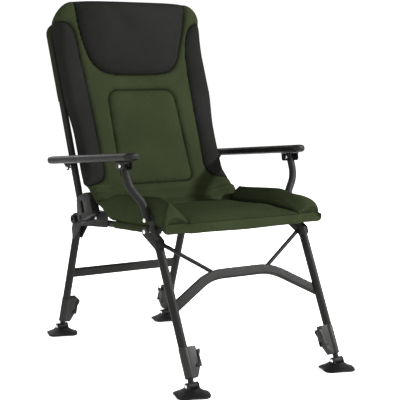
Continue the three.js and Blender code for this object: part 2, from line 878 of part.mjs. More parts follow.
function backFrame() {
  const tube = barAlong(backFramePath(-backTubeBelow), backTubeDiameter / 2, backTubeDiameter / 2);
  const holes = [-1, 1].flatMap((sign) => {
    const from = sign * (backTubeX - backTubeDiameter);
    const to = sign * (backTubeX + backTubeDiameter);
    return [
      crossPin(from, to, boltRadius + gap, backPivot),
      crossPin(from, to, rivetShank + gap, armRearPivot),
    ];
  });
  return cut(tube, ...holes);
}

// The hinge housing: a block round the back tube's foot, with an oval recess in its outer face
function hingeHousing() {
  const inner = bracketOuterX + gap + rivetHeadHeight + gap;
  const outer = backTubeX + backTubeDiameter / 2 + gap + sheet;
  const corner = knuckleTop - knuckleTopWidth / 2;
  const outline = [
    ...arc(new THREE.Vector2(0, 0), knuckleRear, -Math.PI / 2, 0, endSteps),
    new THREE.Vector2(knuckleRear, corner / 2),
    new THREE.Vector2(0, knuckleTop - knuckleRear / 2),
    new THREE.Vector2(-knuckleRear, knuckleTop),
    new THREE.Vector2(-knuckleTopWidth, knuckleTop),
    new THREE.Vector2(knuckleFront + knuckleRear / 2, knuckleTop - knuckleRear),
    new THREE.Vector2(knuckleFront, corner),
    new THREE.Vector2(knuckleFront, 0),
    new THREE.Vector2(knuckleFront + knuckleRear / 2, knuckleFoot),
  ].map((p) => onBack(p.y, -p.x));
  const block = sideSheet(outline, inner, outer - inner);
  const boreRadius = backTubeDiameter / 2 + gap;
  const bore = alongBack(backTubeX, boreRadius, -backTubeBelow - overrun, knuckleTop + overrun);
  const windowLow = onBack(knuckleWindowWidth, knuckleTopWidth / 2);
  const windowHigh = onBack(knuckleWindowLength, knuckleTopWidth / 2);
  const recess = sideSheet(
    strap(windowLow, knuckleWindowWidth / 2, windowHigh, knuckleWindowWidth / 2),
    outer - knuckleWindowWidth / 2,
    knuckleWindowWidth,
  );
  const hole = crossPin(inner - overrun, outer + overrun, boltRadius + gap, backPivot);
  return cut(block, bore, recess, hole);
}

// A cylinder along the back tubes at a place on X
function alongBack(x, radius, from, to) {
  const geometry = new THREE.CylinderGeometry(radius, radius, to - from, roundSides * 2);
  geometry.rotateX(Math.PI / 2);
  geometry.rotateX(-Math.atan2(backDirection.x, backDirection.y));
  const middle = onBack((from + to) / 2, 0);
  geometry.translate(x, middle.x, middle.y);
  return geometry;
}

// The cloth pocket pulled over the top of the back frame
function backPocket() {
  const half = backTubeX + backTubeDiameter / 2 + gap + pocketCloth;
  const thick = backTubeDiameter / 2 + gap + pocketCloth;
  const top = backFrameTop + thick;
  const bend = backFrameCorner;
  const plan = new THREE.Shape();
  plan.moveTo(-half, pocketStart);
  plan.lineTo(-half, top - bend);
  plan.quadraticCurveTo(-half, top, -half + bend, top);
  plan.lineTo(half - bend, top);
  plan.quadraticCurveTo(half, top, half, top - bend);
  plan.lineTo(half, pocketStart);
  const options = { depth: 2 * thick, curveSegments: bendSteps, bevelEnabled: false };
  const slab = new THREE.ExtrudeGeometry(plan, options);
  slab.applyMatrix4(new THREE.Matrix4().makeBasis(
    new THREE.Vector3(1, 0, 0),
    new THREE.Vector3(0, backDirection.x, backDirection.y),
    new THREE.Vector3(0, backForward.x, backForward.y),
  ));
  const place = onBack(0, -thick);
  slab.translate(0, place.x, place.y);
  const radius = backTubeDiameter / 2 + gap;
  return cut(slab, barAlong(backFramePath(pocketStart - overrun), radius, radius));
}

// Cushions

// Half a section of a cushion, from its underside up and inwards to the middle of its top.
// Underside: across as a share of the half width, up as a share from the underside to the bolster's top.
// Bolster: across as a share from the panel to the side, up as a share from the seam to the bolster's top.
// Panel: across as a share of the panel's half width, up as a share of the crown.
const undersideShares = [[0.5, 0], [0.9, 0], [0.98, 0.14], [1, 0.4], [0.99, 0.68]];
const bolsterShares = [[0.78, 0.88], [0.5, 1], [0.22, 0.7]];
const panelShares = [[1, 0], [0.88, 0.52], [0.68, 0.86], [0.35, 0.97]];

// One section of a cushion: place and up are in the side view, the sizes across and upwards
function cushionRing(place, up, size) {
  const { half, panel, low, seam, crown, bolster } = size;
  const rightSide = [
    ...undersideShares.map(([across, rise]) => [half * across, low + (bolster - low) * rise]),
    ...bolsterShares.map(([across, rise]) => [
      panel + (half - panel) * across,
      seam + (bolster - seam) * rise,
    ]),
    ...panelShares.map(([across, rise]) => [panel * across, seam + crown * rise]),
  ];
  const whole = [
    [0, low],
    ...rightSide,
    [0, seam + crown],
    ...rightSide.toReversed().map(([x, h]) => [-x, h]),
  ];
  return whole.map(([x, h]) => {
    const point = place.clone().addScaledVector(up, h);
    return new THREE.Vector3(x, point.x, point.y);
  });
}

// A section drawn in towards its own middle height, for rounded ends
function drawnIn(size, share) {
  const middle = (size.low + size.seam) / 2;
  const toMiddle = (value) => middle + (value - middle) * share;
  const width = 1 - (1 - share) * (size.bolster - size.low) / size.half;
  return {
    half: size.half * width,
    panel: size.panel * width,
    low: toMiddle(size.low),
    seam: toMiddle(size.seam),
    crown: size.crown * share,
    bolster: toMiddle(size.bolster),
  };
}

function mixed(first, second, share) {
  const result = {};
  for (const key of Object.keys(first)) {
    result[key] = first[key] + (second[key] - first[key]) * share;
  }
  return result;
}

function smooth(value, from, to) {
  return THREE.MathUtils.smoothstep(value, Math.min(from, to), Math.max(from, to));
}

const seatMiddleSize = {
  half: seatHalfWidth,
  panel: seatPanelMiddleHalf,
  low: seatUnder,
  seam: seatSeamHeight,
  crown: seatPanelCrown,
  bolster: seatBolsterHeight,
};
const seatRearSize = { ...seatMiddleSize, panel: seatPanelRearHalf, bolster: seatRearBolsterHeight };
const seatFrontSize = {
  half: seatFrontHalfWidth,
  panel: seatPanelFrontHalf,
  low: seatFrontUnder,
  seam: seatFrontSeamHeight,
  crown: seatPanelCrown,
  bolster: seatFrontBolsterHeight,
};
const waistSize = {
  half: waistHalfWidth,
  panel: waistPanelHalf,
  low: seatUnder,
  seam: waistSeamHeight,
  crown: waistCrown,
  bolster: waistBolsterHeight,
};
const backSize = {
  half: backPadHalfWidth,
  panel: backPanelHalf,
  low: backUnder,
  seam: backSeamHeight,
  crown: backPanelCrown,
  bolster: backBolsterHeight,
};

function seatPad() {
  const up = new THREE.Vector2(0, 1);
  const rings = [];
  const body = seatFront + seatNose;
  for (let i = 0; i <= cushionSteps; i += 1) {
    const y = seatRear + (body - seatRear) * i / cushionSteps;
    const size = mixed(seatMiddleSize, seatRearSize, smooth(y, seatMiddle, seatRear));
    const widening = 1 - smooth(y, seatWideningStart, seatWideningEnd);
    rings.push(cushionRing(onBar(y), up, mixed(size, seatFrontSize, widening)));
  }
  for (let i = 1; i <= endSteps; i += 1) {
    const angle = Math.PI / 2 * i / endSteps;
    const y = body - seatNose * Math.sin(angle);
    const share = 1 - (1 - Math.cos(angle)) * noseShare;
    rings.push(cushionRing(onBar(y), up, drawnIn(seatFrontSize, share)));
  }
  return loft(rings);
}

// The back cushion, grown outwards by a clearance when it serves as a cutting shape
function backPad(grown) {
  const rings = [];
  const size = { ...backSize, seam: backSize.seam + grown, bolster: backSize.bolster + grown };
  const body = backPadEnd - backEndRounding;
  for (let i = 0; i <= cushionSteps; i += 1) {
    const along = backPadStart + (body - backPadStart) * i / cushionSteps;
    rings.push(cushionRing(onBack(along, 0), backForward, size));
  }
  for (let i = 1; i <= endSteps; i += 1) {
    const angle = Math.PI / 2 * i / endSteps;
    const share = 1 - (1 - Math.cos(angle)) * noseShare;
    const along = body + backEndRounding * Math.sin(angle);
    rings.push(cushionRing(onBack(along, 0), backForward, drawnIn(size, share)));
  }
  return loft(rings.toReversed());
}

// The part of the cushion that bends between the seat and the backrest, along a curve that touches the
// line of the bars and the line of the back tubes
function waistPad() {
  const start = onBar(seatRear + gap);
  const end = onBack(backPadStart - gap, 0);
  const barDirection = rearPivot.clone().sub(frontPivot).normalize();
  const reach = end.clone().sub(start).cross(backDirection) / barDirection.cross(backDirection);
  const corner = start.clone().addScaledVector(barDirection, reach);
  const curve = new THREE.QuadraticBezierCurve(start, corner, end);
  const first = { ...seatRearSize, half: waistHalfWidth };
  const last = { ...backSize, half: waistHalfWidth };
  const rings = [];
  for (let i = 0; i <= arcSteps; i += 1) {
    const share = i / arcSteps;
    const along = curve.getTangent(share);
    const up = new THREE.Vector2(-along.y, along.x);
    const size = mixed(first, waistSize, smooth(share, 0, waistBlend));
    rings.push(cushionRing(curve.getPoint(share), up, mixed(size, last, smooth(share, 1 - waistBlend, 1))));
  }
  return cut(loft(rings.toReversed()), flangeNotch(), mirrored(flangeNotch()));
}

// The room that the waist leaves for the flange of the bracket under its edge
function flangeNotch() {
  return box(
    new THREE.Vector3(barX - barDiameter / 2 - gap, bracketFrontY, frontPivot.y),
    new THREE.Vector3(bracketInnerX, backPivot.x, rearBracketTop() + gap),
  );
}

// The head pillow: a rounded pad on the upper half of the back cushion, wider at its top
function headPillow() {
  const rings = [];
  const middle = (pillowStart + pillowEnd) / 2;
  const reach = (pillowEnd - pillowStart) / 2;
  const base = backSeamHeight;
  for (let i = 0; i <= cushionSteps; i += 1) {
    const rise = -1 + 2 * i / cushionSteps;
    const angle = Math.PI / 2 * rise;
    const share = Math.cos(angle * pillowEndShare) ** pillowEndPower;
    const along = middle + reach * Math.sin(angle);
    const widening = (1 + Math.sin(angle)) / 2;
    const half = THREE.MathUtils.lerp(pillowFootHalfWidth, pillowTopHalfWidth, widening);
    const height = THREE.MathUtils.lerp(pillowFootHeight, pillowTopHeight, widening);
    const high = base + (height - base) * share;
    rings.push(pillowRing(onBack(along, 0), half - pillowRounding * (1 - share), base, high));
  }
  return cut(loft(rings.toReversed()), backPad(gap));
}

function pillowRing(place, half, low, high) {
  const points = [];
  for (let i = 0; i < pillowSides; i += 1) {
    const angle = -Math.PI / 2 + 2 * Math.PI * i / pillowSides;
    const x = half * squared(Math.cos(angle), pillowSidePower);
    const height = (low + high) / 2 + (high - low) / 2 * squared(Math.sin(angle), pillowFacePower);
    const point = place.clone().addScaledVector(backForward, height);
    points.push(new THREE.Vector3(x, point.x, point.y));
  }
  return points;
}

function addBackrest() {
  addPiece(chair, 'seat_pad', seatPad(), greenCloth);
  addPiece(chair, 'waist_pad', waistPad(), greenCloth);
  addPiece(chair, 'back_frame', backFrame(), coat);
  addPair(chair, 'back_hinge_housing', hingeHousing(), plastic);
  addPiece(chair, 'back_pad', backPad(0), greenCloth);
  addPiece(chair, 'head_pillow', headPillow(), greyCloth);
  addPiece(chair, 'back_pocket', backPocket(), greenCloth);
}

// Armrests, which lie along the line of their two pivots

const armDirection = armLink.clone().normalize();
const armUp = new THREE.Vector2(-armDirection.y, armDirection.x).negate();

// The side view point at a distance from the rear pivot along an armrest and a height above its pivot line
function onArm(along, height) {
  return armRearPivot.clone().addScaledVector(armDirection, along).addScaledVector(armUp, height);
}

// A padded bar with round ends and rounded edges, and a lug under it for the rear pivot
function armrest() {
  const length = armLink.length();
  const plan = new THREE.Shape();
  const half = armWidth / 2 - armEdge;
  const rear = -armRearReach + armEdge;
  const front = length + armTipReach - armEdge;
  const corner = armEndRadius - armEdge;
  plan.moveTo(rear + corner, -half);
  plan.lineTo(front - corner, -half);
  plan.quadraticCurveTo(front, -half, front, 0);
  plan.quadraticCurveTo(front, half, front - corner, half);
  plan.lineTo(rear + corner, half);
  plan.quadraticCurveTo(rear, half, rear, 0);
  plan.quadraticCurveTo(rear, -half, rear + corner, -half);
  const bar = new THREE.ExtrudeGeometry(plan, {
    depth: armThickness - 2 * armEdge,
    curveSegments: 5,
    bevelSize: armEdge,
    bevelThickness: armEdge,
    bevelSegments: 3,
  });
  bar.applyMatrix4(new THREE.Matrix4().makeBasis(
    new THREE.Vector3(0, armDirection.x, armDirection.y),
    new THREE.Vector3(1, 0, 0),
    new THREE.Vector3(0, armUp.x, armUp.y),
  ));
  const place = onArm(0, armPivotDrop + armEdge);
  bar.translate(armX, place.x, place.y);
  const lug = sideSheet([
    onArm(-armLugLength / 2, armPivotDrop + armEdge),
    onArm(-armLugLength / 2, armPivotDrop),
    ...arc(armRearPivot, armLugRadius, -Math.PI, 0, arcSteps).toReversed(),
    onArm(armLugLength / 2, armPivotDrop),
    onArm(armLugLength / 2, armPivotDrop + armEdge),
  ], armX - armWidth / 2 + armEdge, armLugThickness);
  const inner = armX - armWidth / 2;
  const hole = crossPin(inner - overrun, armX, rivetShank + gap, armRearPivot);
  return cut(join(bar, lug), hole);
}

// The pin from the back tube to the armrest's lug, with a head past the lug
function armRearPin() {
  const from = backTubeX - backTubeDiameter / 2;
  const seat = armX - armWidth / 2 + armEdge + armLugThickness + gap;
  return rivet(from, seat, armRearPivot);
}

// The bracket under an armrest's front: a base plate, two cheeks and the rivet between them
function armBracket() {
  const half = armBracketHalfWidth;
  const front = armLink.length();
  const base = armPivotDrop - gap - sheet;
  const cheekOutline = [
    onArm(front - armBracketLength / 2, base),
    ...arc(armFrontPivot, armLugRadius, 0, -Math.PI, arcSteps),
    onArm(front + armBracketLength / 2, base),
    onArm(front + armBracketLength / 2, base + sheet),
    onArm(front - armBracketLength / 2, base + sheet),
  ];
  const cheeks = [armX - half, armX + half - sheet].map((x) => sideSheet(cheekOutline, x, sheet));
  const plate = sideSheet([
    onArm(front - armBracketLength / 2, base),
    onArm(front + armBracketLength / 2, base),
    onArm(front + armBracketLength / 2, base + sheet),
    onArm(front - armBracketLength / 2, base + sheet),
  ].toReversed(), armX - half, 2 * half);
  const pin = crossPin(armX - half, armX + half, rivetShank, armFrontPivot);
  const headRight = turned(domeProfile(rivetHeadRadius, rivetHeadHeight), pinSides);
  headRight.rotateY(Math.PI / 2);
  headRight.translate(armX + half, armFrontPivot.x, armFrontPivot.y);
  return join(...cheeks, plate, pin, headRight);
}

// The tube from the front bracket up to the armrest, cranked outwards on its way
function armSupport() {
  const direction = backDirection;
  const reach = backLink.length();
  const at = (x, along) => {
    const point = supportPivot.clone().addScaledVector(direction, along);
    return new THREE.Vector3(x, point.x, point.y);
  };
  const path = new BentPath([
    at(outerLegX, -supportDiameter / 4),
    at(outerLegX, supportStraight),
    at(armX, supportSlant),
    at(armX, reach + supportDiameter / 8),
  ], new THREE.Vector3(0, backForward.x, backForward.y), supportDiameter, 3);
  const tube = barAlong(path, supportDiameter / 2, supportDiameter / 2);
  const reachAcross = supportDiameter / 2 + overrun;
  return cut(
    tube,
    crossPin(outerLegX - reachAcross, outerLegX + reachAcross, rivetShank + gap, supportPivot),
    crossPin(armX - reachAcross, armX + reachAcross, rivetShank + slideGap, armFrontPivot),
  );
}

function addArmrests() {
  addPair(chair, 'armrest', armrest(), plastic);
  addPair(chair, 'arm_rear_pin', armRearPin(), zinc);
  addPair(chair, 'arm_bracket', armBracket(), plastic);
  addPair(chair, 'arm_support', armSupport(), coat);
}

addSeatFrame();
addFrontLegs();
addRearLegs();
addBackrest();
addArmrests();

export default chair;
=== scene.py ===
"""Folding fishing chair: cushion, frame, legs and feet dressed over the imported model.

Millimetres are used in the sums and metres in the meshes. +Z is up and the sitter faces -Y.
"""
import json
import math

import bmesh
import bpy
import numpy as np
from mathutils import Matrix
from mathutils.geometry import convex_hull_2d


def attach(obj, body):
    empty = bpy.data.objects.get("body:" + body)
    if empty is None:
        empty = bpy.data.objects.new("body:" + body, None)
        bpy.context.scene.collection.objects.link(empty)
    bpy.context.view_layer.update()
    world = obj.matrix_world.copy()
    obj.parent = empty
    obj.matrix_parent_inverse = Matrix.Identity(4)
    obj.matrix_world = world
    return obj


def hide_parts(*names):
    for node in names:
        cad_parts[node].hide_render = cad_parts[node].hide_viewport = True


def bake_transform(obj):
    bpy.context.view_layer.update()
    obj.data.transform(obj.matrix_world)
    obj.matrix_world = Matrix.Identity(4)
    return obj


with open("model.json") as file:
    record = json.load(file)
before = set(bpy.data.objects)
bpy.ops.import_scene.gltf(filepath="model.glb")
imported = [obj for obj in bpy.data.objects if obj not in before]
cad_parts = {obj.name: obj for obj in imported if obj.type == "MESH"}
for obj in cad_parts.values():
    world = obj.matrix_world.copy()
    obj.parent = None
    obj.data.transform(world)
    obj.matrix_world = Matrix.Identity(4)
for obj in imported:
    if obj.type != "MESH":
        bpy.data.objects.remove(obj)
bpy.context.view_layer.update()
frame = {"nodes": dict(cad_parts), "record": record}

bl_info = {
    "name": "Folding Fishing Chair",
    "version": (1, 0, 0),
    "blender": (4, 5, 0),
    "location": "3D View > Sidebar > Fishing Chair",
    "description": "Cushion, steel frame, clamps and mud feet of a folding fishing chair",
    "category": "Add Mesh",
}

MM = 0.001
SIDES = (("left", -1), ("right", 1))

# Tubes, sheet and fasteners of the frame, and sizes of the smaller pieces. The legs, arm supports, struts and
# cross bars are drawn wider than their solids, as the photo shows them: LEG_SKIN, SUPPORT_ACROSS,
# STRUT_RADIUS and the two heights of the cross bars
GAP = 0.3
SHEET = 2.2
LEG_RADIUS = 11.0
INNER_LEG_RADIUS = 8.0
BAR_RADIUS = 9.5
BACK_RADIUS = 10.5
SUPPORT_RADIUS = 9.5
STRUT_RADIUS = 5.6
LEG_SKIN = 12.0
SUPPORT_ACROSS = 11.2
RIVET_SHANK = 3.0
RIVET_HEAD = 5.2
RIVET_RISE = 2.4
BOLT_RADIUS = 4.0
KNOB_RADIUS = 13.5
KNOB_HEIGHT = 9.0
PIVOT_HEAD = 6.2
BOLT_HEAD = 8.0
CROSS_BAR_DEPTH = 12.4
FRONT_BAR_HEIGHT = 28.0
REAR_BAR_HEIGHT = 29.2
FOOT_RADIUS = 54.0
ARMREST_HALF_WIDTH = 22.0
ARMREST_HALF_HEIGHT = 11.5
LUG_THICKNESS = 4.0

# Planes across the chair
BAR_X = 218.5
BRACKET_INNER = BAR_X + BAR_RADIUS + GAP
BRACKET_OUTER = BRACKET_INNER + SHEET
OUTER_LEG_X = BRACKET_OUTER + GAP + SHEET + GAP + LEG_RADIUS
OUTER_PLATE_X = OUTER_LEG_X + LEG_RADIUS + GAP
REAR_LEG_X = BAR_X - BAR_RADIUS - GAP - SHEET - GAP - LEG_RADIUS
BACK_TUBE_X = BRACKET_OUTER + GAP + RIVET_RISE + GAP + SHEET + GAP + BACK_RADIUS
ARM_X = 284.0
LUG_OUTER = ARM_X - 13.0

# Pivots in the plane seen from the side, as (Y, Z)
FRONT_PIVOT = np.array([-200.0, 405.0])
REAR_PIVOT = np.array([250.0, 389.0])
BACK_PIVOT = np.array([164.0, 404.0])
ARM_LINK = np.array([-359.0, 31.0])
BACK_LINK = np.array([54.0, 145.0])
SUPPORT_PIVOT = BACK_PIVOT + ARM_LINK
ARM_REAR_PIVOT = BACK_PIVOT + BACK_LINK
ARM_FRONT_PIVOT = ARM_REAR_PIVOT + ARM_LINK
FRONT_FOOT = np.array([-413.0, 26.0])
REAR_FOOT = np.array([413.0, 26.0])
FRONT_LEG_TOP = np.array([-258.0, 364.0])
REAR_LEG_TOP = np.array([301.0, 348.0])
BRACKET_RIVET = np.array([119.0, 407.0])

# Places on Y along the seat bars, and distances up the back tubes from their hinge
SLEEVE_FRONT = -166.0
SLEEVE_REAR = 18.0
POCKET_LOW = 362.0
POCKET_TOP = 611.0
BACK_TUBE_TOP = 594.0
BACK_TUBE_BEND = 58.0


def unit(vector):
    """A vector at length one."""
    return np.asarray(vector, float) / np.linalg.norm(vector)


BACK_ALONG = unit(BACK_LINK)
BACK_FORWARD = np.array([-BACK_ALONG[1], BACK_ALONG[0]])
BAR_ALONG = unit(REAR_PIVOT - FRONT_PIVOT)
BAR_UP = np.array([-BAR_ALONG[1], BAR_ALONG[0]])
ARM_ALONG = unit(ARM_LINK)
ARM_UP = np.array([ARM_ALONG[1], -ARM_ALONG[0]])


def on_back(along, height):
    """The side view point at a distance along the back tubes and a height in front of them."""
    return BACK_PIVOT + BACK_ALONG * along + BACK_FORWARD * height


def on_bar(y):
    """The side view point of the seat bars' centre line at a place on Y."""
    return FRONT_PIVOT + BAR_ALONG * (y - FRONT_PIVOT[0]) / BAR_ALONG[0]


def on_arm(along, height):
    """The side view point at a distance from the rear pivot along an armrest and a height above it."""
    return ARM_REAR_PIVOT + ARM_ALONG * along + ARM_UP * height


def at(x, side_point):
    """A point in space from a place across the chair and a side view point."""
    return np.array([x, side_point[0], side_point[1]])


def full_turn(count):
    """Angles of a whole turn, evenly apart, without the last one that meets the first."""
    return np.linspace(0, 2 * math.pi, count, endpoint=False)


def quarter_turn(count):
    """Angles from 0 to a right angle."""
    return np.linspace(0, math.pi / 2, count)


def share(value):
    """A value held between 0 and 1."""
    return np.clip(value, 0, 1)


def bell(value, width):
    """A smooth bump, 1 at zero and falling away on both sides: exp(-(value / width)^2)."""
    return np.exp(-(value / width) ** 2)


def powered(wave, power):
    """The sign of a wave times a power of its size. A power under 1 makes a round section squarer."""
    return np.sign(wave) * np.abs(wave) ** power


def chair_settings():
    """The add-on's settings on the scene."""
    return bpy.context.scene.fishing_chair


def new_object(name, data):
    """A new object in the scene."""
    made = bpy.data.objects.new(name, data)
    bpy.context.scene.collection.objects.link(made)
    return made


# Colours and materials

MATERIALS = {}


def linear(code):
    """A linear colour from an sRGB hex code, by the sRGB curve: a straight toe and a 2.4 power."""
    shares = [int(code[i:i + 2], 16) / 255 for i in (1, 3, 5)]
    return tuple(c / 12.92 if c <= 0.04045 else ((c + 0.055) / 1.055) ** 2.4 for c in shares)


def wire(tree, node, inputs):
    """Sets each input socket to a number or a colour, or links it to another node's output."""
    for socket, value in inputs.items():
        if isinstance(value, bpy.types.NodeSocket):
            tree.links.new(value, node.inputs[socket])
        else:
            node.inputs[socket].default_value = value


def add(tree, kind, inputs=None, out=0, **settings):
    """Adds a shader node with its settings and inputs, and returns one of its outputs."""
    made = tree.nodes.new("ShaderNode" + kind)
    for name, value in settings.items():
        setattr(made, name, value)
    wire(tree, made, inputs or {})
    return made.outputs[out]


def new_material(name):
    """An empty material with a Principled shader, as (material, tree, shader)."""
    material = bpy.data.materials.new(name)
    material.use_nodes = True
    tree = material.node_tree
    return material, tree, tree.nodes["Principled BSDF"]


def per_mm(size):
    """The Scale of a noise or cell pattern whose features are about size millimetres wide, on metres."""
    return 1 / (size * MM)


def tone(tree, coordinates, size, low, high):
    """A soft patchy factor between low and high, from noise of that size in millimetres."""
    noise = add(tree, "TexNoise", {"Vector": coordinates, "Scale": per_mm(size), "Detail": 3.0})
    spread = {"Value": noise, "From Min": 0.3, "From Max": 0.7, "To Min": low, "To Max": high}
    return add(tree, "MapRange", spread)


def shaded(tree, colour, factor):
    """A colour made lighter or darker by a factor at each place."""
    grey = add(tree, "CombineColor", {"Red": factor, "Green": factor, "Blue": factor})
    return add(tree, "Mix", {0: 1.0, 6: colour, 7: grey}, out=2, data_type="RGBA", blend_type="MULTIPLY")


def opaque(colour):
    """A colour with its alpha."""
    return (*tuple(colour)[:3], 1.0)


def hard_finish(name, colour, mottle, rough, fixed):
    """A material whose colour and roughness vary softly with the place, each by a size, a low and a high
    value, and whose other inputs are fixed. Returned as (material, tree, shader, place)."""
    material, tree, shader = new_material(name)
    place = add(tree, "TexCoord", out="Object")
    base = shaded(tree, opaque(colour), tone(tree, place, *mottle))
    wire(tree, shader, {"Base Color": base, "Roughness": tone(tree, place, *rough), **fixed})
    return material, tree, shader, place


def powder_coat(look):
    """Satin polyester powder coat sprayed on steel tube: an even dark grey, slightly pebbled film that
    draws a long soft highlight down each tube."""
    material, tree, shader, place = hard_finish(
        "Powder coated steel, dark grey satin", look.coat, (60, 0.9, 1.12), (9, 0.5, 0.6),
        {"IOR": 1.5, "Specular IOR Level": 0.09})
    # The real film's pebbling is about 0.4 mm wide, and is drawn at 1.4 mm so that it shows
    pebbles = add(tree, "TexNoise", {"Vector": place, "Scale": per_mm(1.4), "Detail": 1.0})
    bump = add(tree, "Bump", {"Strength": 0.16, "Distance": 0.25 * MM, "Height": pebbles})
    wire(tree, shader, {"Normal": bump})
    return material


def moulded_plastic(name, colour, grain, roughness):
    """Injection moulded polyamide with a spark-eroded grain: fine pits that keep its shine broad and dull.
    The mud feet's rubber is moulded the same way."""
    material, tree, shader, place = hard_finish(
        name, colour, (30, 0.88, 1.15), (12, roughness - 0.06, roughness + 0.06),
        {"IOR": 1.52, "Specular IOR Level": 0.12})
    pits = add(tree, "TexVoronoi", {"Vector": place, "Scale": per_mm(grain)}, feature="SMOOTH_F1")
    wire(tree, shader, {"Normal": add(tree, "Bump", {"Strength": 0.3, "Distance": 0.2 * MM, "Height": pits})})
    return material


def zinc(look):
    """Bright zinc plate on steel rivets, barrel plated: a clean silver with small dulled patches."""
    name = "Zinc plated steel, bright"
    return hard_finish(name, look.zinc, (4, 0.86, 1.05), (2, 0.22, 0.36), {"Metallic": 1.0})[0]


def thread_height(tree, pitch):
    """A plain weave's height on the UV map: the product of two sine waves, one each way, a pitch apart."""
    flat = add(tree, "TexCoord", out="UV")
    waves = []
    for axis in "XY":
        way = add(tree, "SeparateXYZ", {0: flat}, out=axis)
        angle = add(tree, "Math", {0: way, 1: 2 * math.pi / (pitch * MM)}, operation="MULTIPLY")
        waves.append(add(tree, "Math", {0: angle}, operation="SINE"))
    return add(tree, "Math", {0: waves[0], 1: waves[1]}, operation="MULTIPLY")


def woven_polyester(name, colour, dark=None):
    """Plain woven 600 denier polyester: a dull cloth without shine, with a faint thread grid and uneven
    dye. With a dark colour it reads three attributes of its piece: zone changes the olive cloth to the
    charcoal one, seam paints shade into the seams, and along spaces the stitches beside them."""
    material, tree, shader = new_material(name)
    place = add(tree, "TexCoord", out="Object")
    # Threads are really about 0.6 mm apart, and are drawn at 2.2 mm so that they show
    weave = thread_height(tree, 2.2)
    base = opaque(colour)
    dye = add(tree, "Math", {0: tone(tree, place, 110, 0.9, 1.12), 1: tone(tree, place, 5, 0.93, 1.07)},
              operation="MULTIPLY")
    crossing = {"Value": weave, "From Min": -1.0, "From Max": 1.0, "To Min": 0.86, "To Max": 1.1}
    factor = add(tree, "Math", {0: dye, 1: add(tree, "MapRange", crossing)}, operation="MULTIPLY")
    height = add(tree, "Math", {0: weave, 1: tone(tree, place, 3, -0.5, 0.5)}, operation="ADD")
    if dark is not None:
        fields = ("zone", "seam", "along")
        zone, seam, along = (add(tree, "Attribute", out="Fac", attribute_name=field) for field in fields)
        grey = add(tree, "MapRange", {"Value": zone, "From Min": -0.6, "From Max": 0.6})
        base = add(tree, "Mix", {0: grey, 6: base, 7: opaque(dark)}, out=2, data_type="RGBA")
        # Painted shade: the cloth darkens to a quarter of its colour on a seam line and fades back over 6 mm,
        # standing in for the shade in the seams' grooves
        painted_seam_shade = add(tree, "MapRange", {"Value": seam, "From Max": 6.0, "To Min": 0.25, "To Max": 1.0},
                    interpolation_type="SMOOTHSTEP")
        factor = add(tree, "Math", {0: factor, 1: painted_seam_shade}, operation="MULTIPLY")
        # Stitches are 3.4 mm long and 5 mm apart, in a line 8 mm beside the seam
        beat = add(tree, "Math", {0: along, 1: 5.0}, operation="MODULO")
        dash = add(tree, "Math", {0: beat, 1: 3.4}, operation="LESS_THAN")
        offset = add(tree, "Math", {0: seam, 1: 8.0, 2: 0.6}, operation="COMPARE")
        stitch = add(tree, "Math", {0: dash, 1: offset}, operation="MULTIPLY")
        height = add(tree, "Math", {0: stitch, 1: -2.0, 2: height}, operation="MULTIPLY_ADD")
        sewn = add(tree, "Math", {0: stitch, 1: -0.25, 2: 1.0}, operation="MULTIPLY_ADD")
        factor = add(tree, "Math", {0: factor, 1: sewn}, operation="MULTIPLY")
    wire(tree, shader, {
        "Base Color": shaded(tree, base, factor),
        "Roughness": 0.86,
        "IOR": 1.46,
        "Specular IOR Level": 0.0,
        "Normal": add(tree, "Bump", {"Strength": 0.35, "Distance": 0.35 * MM, "Height": height}),
    })
    return material


def made_once(key, maker):
    """The material kept under a key, made on its first use."""
    if key not in MATERIALS:
        MATERIALS[key] = maker()
    return MATERIALS[key]


def finish_of(slot):
    """The material for one of the record's slots. The mud feet's rubber is near black and matt, with dusty
    lighter patches."""
    look = chair_settings().look
    return made_once(slot, {
        "powder_coat": lambda: powder_coat(look),
        "black_plastic": lambda: moulded_plastic("Moulded polyamide, black grained", look.plastic, 1.3, 0.5),
        "zinc_rivet": lambda: zinc(look),
        "green_cloth": lambda: woven_polyester("Woven polyester, olive", look.olive),
        "grey_cloth": lambda: woven_polyester("Woven polyester, charcoal", look.charcoal),
        "foot_rubber": lambda: moulded_plastic("Moulded rubber, black matt", look.rubber, 1.6, 0.6),
    }[slot])


# Meshes

# The body and the finish of each CAD node
BODY_OF = {node: body for body, nodes in frame["record"]["behaviour"]["bodies"].items() for node in nodes}
SLOT_OF = {row["node"]: row["material_slot"] for row in frame["record"]["subparts"]}


def mesh_from(name, points, faces):
    """A mesh from points in millimetres and a list of faces. Points that meet are merged, so poles and
    seams are closed, and the normals of the closed skin are pointed outwards."""
    mesh = bpy.data.meshes.new(name)
    mesh.from_pydata((np.asarray(points, float) * MM).tolist(), [], [list(map(int, f)) for f in faces])
    body = bmesh.new()
    body.from_mesh(mesh)
    bmesh.ops.remove_doubles(body, verts=body.verts, dist=0.004 * MM)
    bmesh.ops.recalc_face_normals(body, faces=body.faces)
    body.to_mesh(mesh)
    body.free()
    return mesh


def quads_of(index, flip=False):
    """The quads of a grid of point numbers, turned over where asked."""
    quads = np.stack([index[:-1, :-1], index[:-1, 1:], index[1:, 1:], index[1:, :-1]], axis=-1).reshape(-1, 4)
    return quads[:, ::-1] if flip else quads


def ring_skin(rings):
    """A skin through rows of points that each close into a ring, as (points, faces)."""
    rows, columns = rings.shape[:2]
    index = np.arange(rows * columns).reshape(rows, columns)
    return rings.reshape(-1, 3), quads_of(np.hstack([index, index[:, :1]]))


